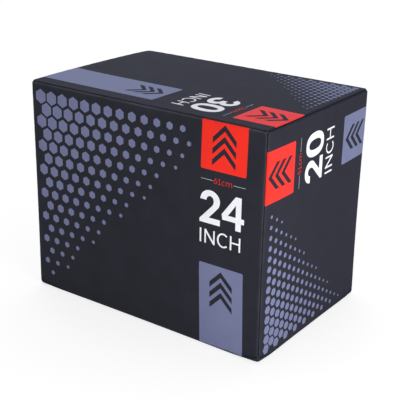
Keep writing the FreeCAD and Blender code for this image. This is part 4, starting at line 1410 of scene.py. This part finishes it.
def cast_metal(nodes, tone):
    """Tumbled zinc casting or plated steel: smudged gloss and fine scratches."""
    wear = nodes.group(fine_wear(), {"Place": nodes.object_place(), "Size": 0.5 * MM})
    return {"Base Color": nodes.mix(wear["Smudge"], rgba(tone, 0.75), rgba(tone, 1.2)),
            "Metallic": 1.0,
            "Roughness": nodes.spread(wear["Scratch"], 0.25, 0.48),
            "Normal": nodes.bump(wear["Scratch"], 0.012 * MM)}


def cell_foam(nodes, tone):
    """Closed-cell foam: cut cells of 2 mm, each a little lighter or darker, over slow unevenness."""
    place = nodes.object_place()
    cells = nodes.add("ShaderNodeTexVoronoi", {"Vector": place, "Scale": 500.0})
    shade = nodes.math("MULTIPLY_ADD", cells.outputs["Distance"], 0.6, nodes.noise(place, 30.0, 3.0))
    return {"Base Color": nodes.mix(shade, rgba(tone, 1.06), rgba(tone, 0.84)),
            "Roughness": nodes.spread(shade, 0.7, 0.9),
            "Specular IOR Level": 0.3,
            "Normal": nodes.bump(cells.outputs["Distance"], 0.3 * MM)}


# Order of the axes that sets a wood's grain upright, number of veneers in the plywood, and how far the outer
# ones go past its faces as a share of its thickness
UPRIGHT = (2, 0, 1)
PLIES = 9
PLY_SPARE = 0.02


def plywood(nodes, pale, dark, axis, start, thick):
    """Plywood: veneers along the panel's thin axis, pale and dark in turn, so the plies show on its edges.

    The figure runs along X, or upright on a panel that is thin along X.
    """
    split = nodes.split(nodes.object_place())
    place = nodes.joined(split, UPRIGHT if axis == 0 else (0, 1, 2))
    figure = nodes.group(wood_figure(), {"Place": place, "Ring": 14 * MM})
    above = nodes.math("SUBTRACT", split[axis], start - PLY_SPARE * thick)
    depth = nodes.math("DIVIDE", above, (1 + 2 * PLY_SPARE) * thick)
    veneers = nodes.math("FLOOR", nodes.math("MULTIPLY", depth, float(PLIES)))
    crossed = nodes.math("FLOORED_MODULO", veneers, 2.0)
    streak = nodes.math("MULTIPLY_ADD", figure["Rings"], 0.6, nodes.math("MULTIPLY", figure["Pores"], 0.4))
    veneer = nodes.mix(streak, rgba(pale, 1.08), rgba(pale, 0.72))
    return {"Base Color": nodes.mix(nodes.math("MULTIPLY", crossed, 0.8), veneer, rgba(dark)),
            "Roughness": nodes.spread(figure["Pores"], 0.6, 0.85),
            "Normal": nodes.bump(figure["Pores"], 0.1 * MM)}


def sawn_softwood(nodes, pale, dark):
    """Planed softwood with upright grain. The dark rings go with the square of the ring's value."""
    place = nodes.joined(nodes.split(nodes.object_place()), UPRIGHT)
    figure = nodes.group(wood_figure(), {"Place": place, "Ring": 5 * MM})
    late = nodes.math("MULTIPLY", figure["Rings"], figure["Rings"])
    return {"Base Color": nodes.mix(late, rgba(pale), rgba(dark)),
            "Roughness": nodes.spread(figure["Pores"], 0.55, 0.8),
            "Normal": nodes.bump(figure["Pores"], 0.08 * MM)}


def dress(nodes, finish):
    """Give nodes of the frame a finish."""
    for node in nodes:
        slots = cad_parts[node].material_slots
        if not slots:
            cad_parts[node].data.materials.append(finish)
        for slot in slots:
            slot.material = finish


# The stage


def seen_directly(nodes):
    """1 for rays from the camera, or by way of a reflection or glass, and 0 for light on dull surfaces."""
    path = nodes.add("ShaderNodeLightPath").outputs
    mirrored = nodes.math("MAXIMUM", path["Is Glossy Ray"], path["Is Transmission Ray"])
    return nodes.math("MAXIMUM", path["Is Camera Ray"], mirrored)


WHITE = (1.0, 1.0, 1.0, 1.0)


def white_room(stage):
    """A world that is white in the picture and in reflections, and lights dull surfaces by the ambient."""
    world = bpy.data.worlds.new("white room")
    world.use_nodes = True
    world.node_tree.nodes.clear()
    nodes = Nodes(world.node_tree)
    light = nodes.add("ShaderNodeBackground", {"Color": WHITE, "Strength": stage.ambient}).outputs[0]
    backdrop = nodes.add("ShaderNodeBackground", {"Color": WHITE, "Strength": 1.0}).outputs[0]
    room = nodes.add("ShaderNodeMixShader", {0: seen_directly(nodes), 1: light, 2: backdrop})
    nodes.add("ShaderNodeOutputWorld", {"Surface": room.outputs[0]})
    bpy.context.scene.world = world


# Gap between the floor and the box's foot, and the floor's paint and the strength of its own white
FLOOR_GAP = 0.2 * MM
FLOOR_PAINT = (0.97, 0.97, 0.97, 1.0)
FLOOR_WHITE = 1.1


def pale_floor(stage):
    """A white floor that keeps a soft shadow: part of its white in the picture is its own."""
    side = stage.floor_size
    corners = ((-side, -side), (side, -side), (side, side), (-side, side))
    mesh = bpy.data.meshes.new("floor")
    mesh.from_pydata([(x, y, -FLOOR_GAP) for x, y in corners], [], [(0, 1, 2, 3)])
    material = bpy.data.materials.new("pale floor")
    material.use_nodes = True
    nodes = Nodes(material.node_tree)
    shader = material.node_tree.nodes["Principled BSDF"]
    nodes.fill(shader, {"Base Color": FLOOR_PAINT, "Roughness": 1.0, "Specular IOR Level": 0.0})
    white = nodes.add("ShaderNodeEmission", {"Color": WHITE, "Strength": FLOOR_WHITE})
    share = nodes.math("MULTIPLY", seen_directly(nodes), stage.floor_glow)
    mixed = nodes.add("ShaderNodeMixShader", {0: share, 1: shader.outputs[0], 2: white.outputs[0]})
    nodes.fill(material.node_tree.nodes["Material Output"], {"Surface": mixed.outputs[0]})
    mesh.materials.append(material)
    floor = bpy.data.objects.new("floor", mesh)
    bpy.context.scene.collection.objects.link(floor)


def put_light(lamp, towards):
    """An object for the lamp, which shines against the direction towards it."""
    light = bpy.data.objects.new(lamp.name, lamp)
    light.rotation_euler = towards.to_track_quat("Z", "Y").to_euler()
    bpy.context.scene.collection.objects.link(light)
    return light


def studio_lights(stage):
    """A round lamp near the right, whose light falls off over the front, and a soft light from above."""
    key = bpy.data.lights.new("key light", "AREA")
    key.shape = "DISK"
    key.size = stage.key_size
    key.energy = stage.key_power
    place = Vector(stage.key_place)
    light = put_light(key, place - Vector(MIDDLE))
    light.location = place
    light.visible_camera = False
    top = bpy.data.lights.new("top light", "SUN")
    top.energy = stage.top_strength
    top.angle = stage.top_spread
    put_light(top, Vector(stage.top_from))


def place_camera(stage):
    """The camera at its place, looking at its aim and rolled about its line of sight."""
    data = bpy.data.cameras.new("camera")
    data.lens = stage.lens
    camera = bpy.data.objects.new("camera", data)
    sight = Vector(stage.camera_aim) - Vector(stage.camera_place)
    turn = sight.to_track_quat("-Z", "Y") @ Quaternion((0.0, 0.0, 1.0), stage.camera_roll)
    camera.location = stage.camera_place
    camera.rotation_euler = turn.to_euler()
    bpy.context.scene.collection.objects.link(camera)
    bpy.context.scene.camera = camera


# Operators


class JUMPBOX_OT_cover_panels(bpy.types.Operator):
    """Lay the five whole panels of the sewn cover"""

    bl_idname = "jump_box.cover_panels"
    bl_label = "Cover panels"

    def execute(self, context):
        settings = context.scene.jump_box
        for face in ("front", "right", "left", "top", "bottom"):
            lines = [spaced((-limit, limit), settings.cover.spacing) for limit in cloth_limits(face)]
            cloth_piece(settings, "cover_" + face, face, *np.meshgrid(*lines, indexing="ij"))
        return {"FINISHED"}


class JUMPBOX_OT_rear_cover(bpy.types.Operator):
    """Lay the rear strips and the flap that the zip closes"""

    bl_idname = "jump_box.rear_cover"
    bl_label = "Rear cover"

    def execute(self, context):
        settings = context.scene.jump_box
        rear_hinge_strip(settings)
        rear_run_strip(settings, "cover_rear_top_strip", 1)
        rear_run_strip(settings, "cover_rear_bottom_strip", -1)
        rear_free_strip(settings)
        bend_at_fold(rear_flap(settings))
        return {"FINISHED"}


class JUMPBOX_OT_zip(bpy.types.Operator):
    """Sew in the zip's two tapes and two rows of teeth"""

    bl_idname = "jump_box.zip"
    bl_label = "Zip"

    def execute(self, context):
        settings = context.scene.jump_box
        for kind, make in (("zip_tape", zip_tape), ("zip_teeth", zip_teeth)):
            make(settings, kind + "_outer", 1, (kind + "_box",))
            bend_at_fold(make(settings, kind + "_inner", -1, (kind + "_flap", kind + "_tails")))
        return {"FINISHED"}


class JUMPBOX_OT_stitches(bpy.types.Operator):
    """Sew the rows of stitches on both sides of the zip"""

    bl_idname = "jump_box.stitches"
    bl_label = "Stitches"

    def execute(self, context):
        settings = context.scene.jump_box
        stitch_row(settings, "stitches_outer", 1)
        bend_at_fold(stitch_row(settings, "stitches_inner", -1))
        return {"FINISHED"}


class JUMPBOX_OT_foam(bpy.types.Operator):
    """Lay the six foam slabs round the core"""

    bl_idname = "jump_box.foam"
    bl_label = "Foam"

    def execute(self, context):
        settings = context.scene.jump_box
        for face in ("top", "bottom"):
            foam_slab(settings, face, (0, 0, 0), (1, 1))
        for face in ("left", "right"):
            foam_slab(settings, face, (0, 1, 1), (0, 0))
        foam_slab(settings, "front", (0, 0, 1), (1, 0))
        rear_foam(settings)
        return {"FINISHED"}


class JUMPBOX_OT_core_finish(bpy.types.Operator):
    """Finish the plywood panels, battens and screws of the core"""

    bl_idname = "jump_box.core_finish"
    bl_label = "Core finish"

    def execute(self, context):
        finish = context.scene.jump_box.finish
        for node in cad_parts:
            if node.startswith("core_") and not node.endswith("screws"):
                size = high(node) - low(node)
                thin = int(np.argmin(size))
                values = (finish.birch, finish.birch_dark, thin, low(node)[thin], size[thin])
                dress((node,), finish_of("plywood " + node, plywood, *values))
        battens = [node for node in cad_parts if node.startswith("batten_")]
        dress(battens, finish_of("softwood", sawn_softwood, finish.softwood, finish.softwood_dark))
        dress(("core_side_screws", "core_lid_screws"), finish_of("yellow zinc", cast_metal, finish.zinc))
        return {"FINISHED"}


class JUMPBOX_OT_zip_metal_finish(bpy.types.Operator):
    """Finish the zip's slider, pull and end stops"""

    bl_idname = "jump_box.zip_metal_finish"
    bl_label = "Zip metal finish"

    def execute(self, context):
        gunmetal = finish_of("gunmetal", cast_metal, context.scene.jump_box.finish.gunmetal)
        dress(("zip_slider", "zip_pull", "zip_end_stops"), gunmetal)
        return {"FINISHED"}


class JUMPBOX_OT_prints(bpy.types.Operator):
    """Print the arrows, sizes and hexagons on the three printed faces"""

    bl_idname = "jump_box.prints"
    bl_label = "Prints"

    def execute(self, context):
        for face in PRINTED:
            PrintSheet(context.scene.jump_box, face).lay()
        return {"FINISHED"}


class JUMPBOX_OT_stage(bpy.types.Operator):
    """Set up the floor, the light and the camera"""

    bl_idname = "jump_box.stage"
    bl_label = "Stage"

    def execute(self, context):
        stage = context.scene.jump_box.stage
        white_room(stage)
        pale_floor(stage)
        studio_lights(stage)
        place_camera(stage)
        context.scene.view_settings.view_transform = "Standard"
        return {"FINISHED"}


OPERATORS = (
    JUMPBOX_OT_cover_panels,
    JUMPBOX_OT_rear_cover,
    JUMPBOX_OT_zip,
    JUMPBOX_OT_stitches,
    JUMPBOX_OT_foam,
    JUMPBOX_OT_core_finish,
    JUMPBOX_OT_zip_metal_finish,
    JUMPBOX_OT_prints,
    JUMPBOX_OT_stage,
)


class JUMPBOX_PT_pieces(bpy.types.Panel):
    """The steps that build the jump box"""

    bl_label = "Jump box"
    bl_space_type = "VIEW_3D"
    bl_region_type = "UI"
    bl_category = "Jump box"

    def draw(self, context):
        for operator in OPERATORS:
            self.layout.operator(operator.bl_idname)


CLASSES = (CoverSizes, PrintSizes, ZipSizes, FoamSizes, Finishes, StageSettings, JumpBoxSettings,
           *OPERATORS, JUMPBOX_PT_pieces)


def register():
    """Register the classes and hang the settings on the scene."""
    for kind in CLASSES:
        bpy.utils.register_class(kind)
    bpy.types.Scene.jump_box = bpy.props.PointerProperty(type=JumpBoxSettings)


def unregister():
    """Take the settings and the classes away again."""
    del bpy.types.Scene.jump_box
    for kind in reversed(CLASSES):
        bpy.utils.unregister_class(kind)


def main():
    """Build the jump box and its stage in the open scene."""
    register()
    bpy.ops.jump_box.cover_panels()
    bpy.ops.jump_box.rear_cover()
    bpy.ops.jump_box.zip()
    bpy.ops.jump_box.stitches()
    bpy.ops.jump_box.foam()
    bpy.ops.jump_box.core_finish()
    bpy.ops.jump_box.zip_metal_finish()
    bpy.ops.jump_box.prints()
    bpy.ops.jump_box.stage()


if __name__ == "__main__":
    main()
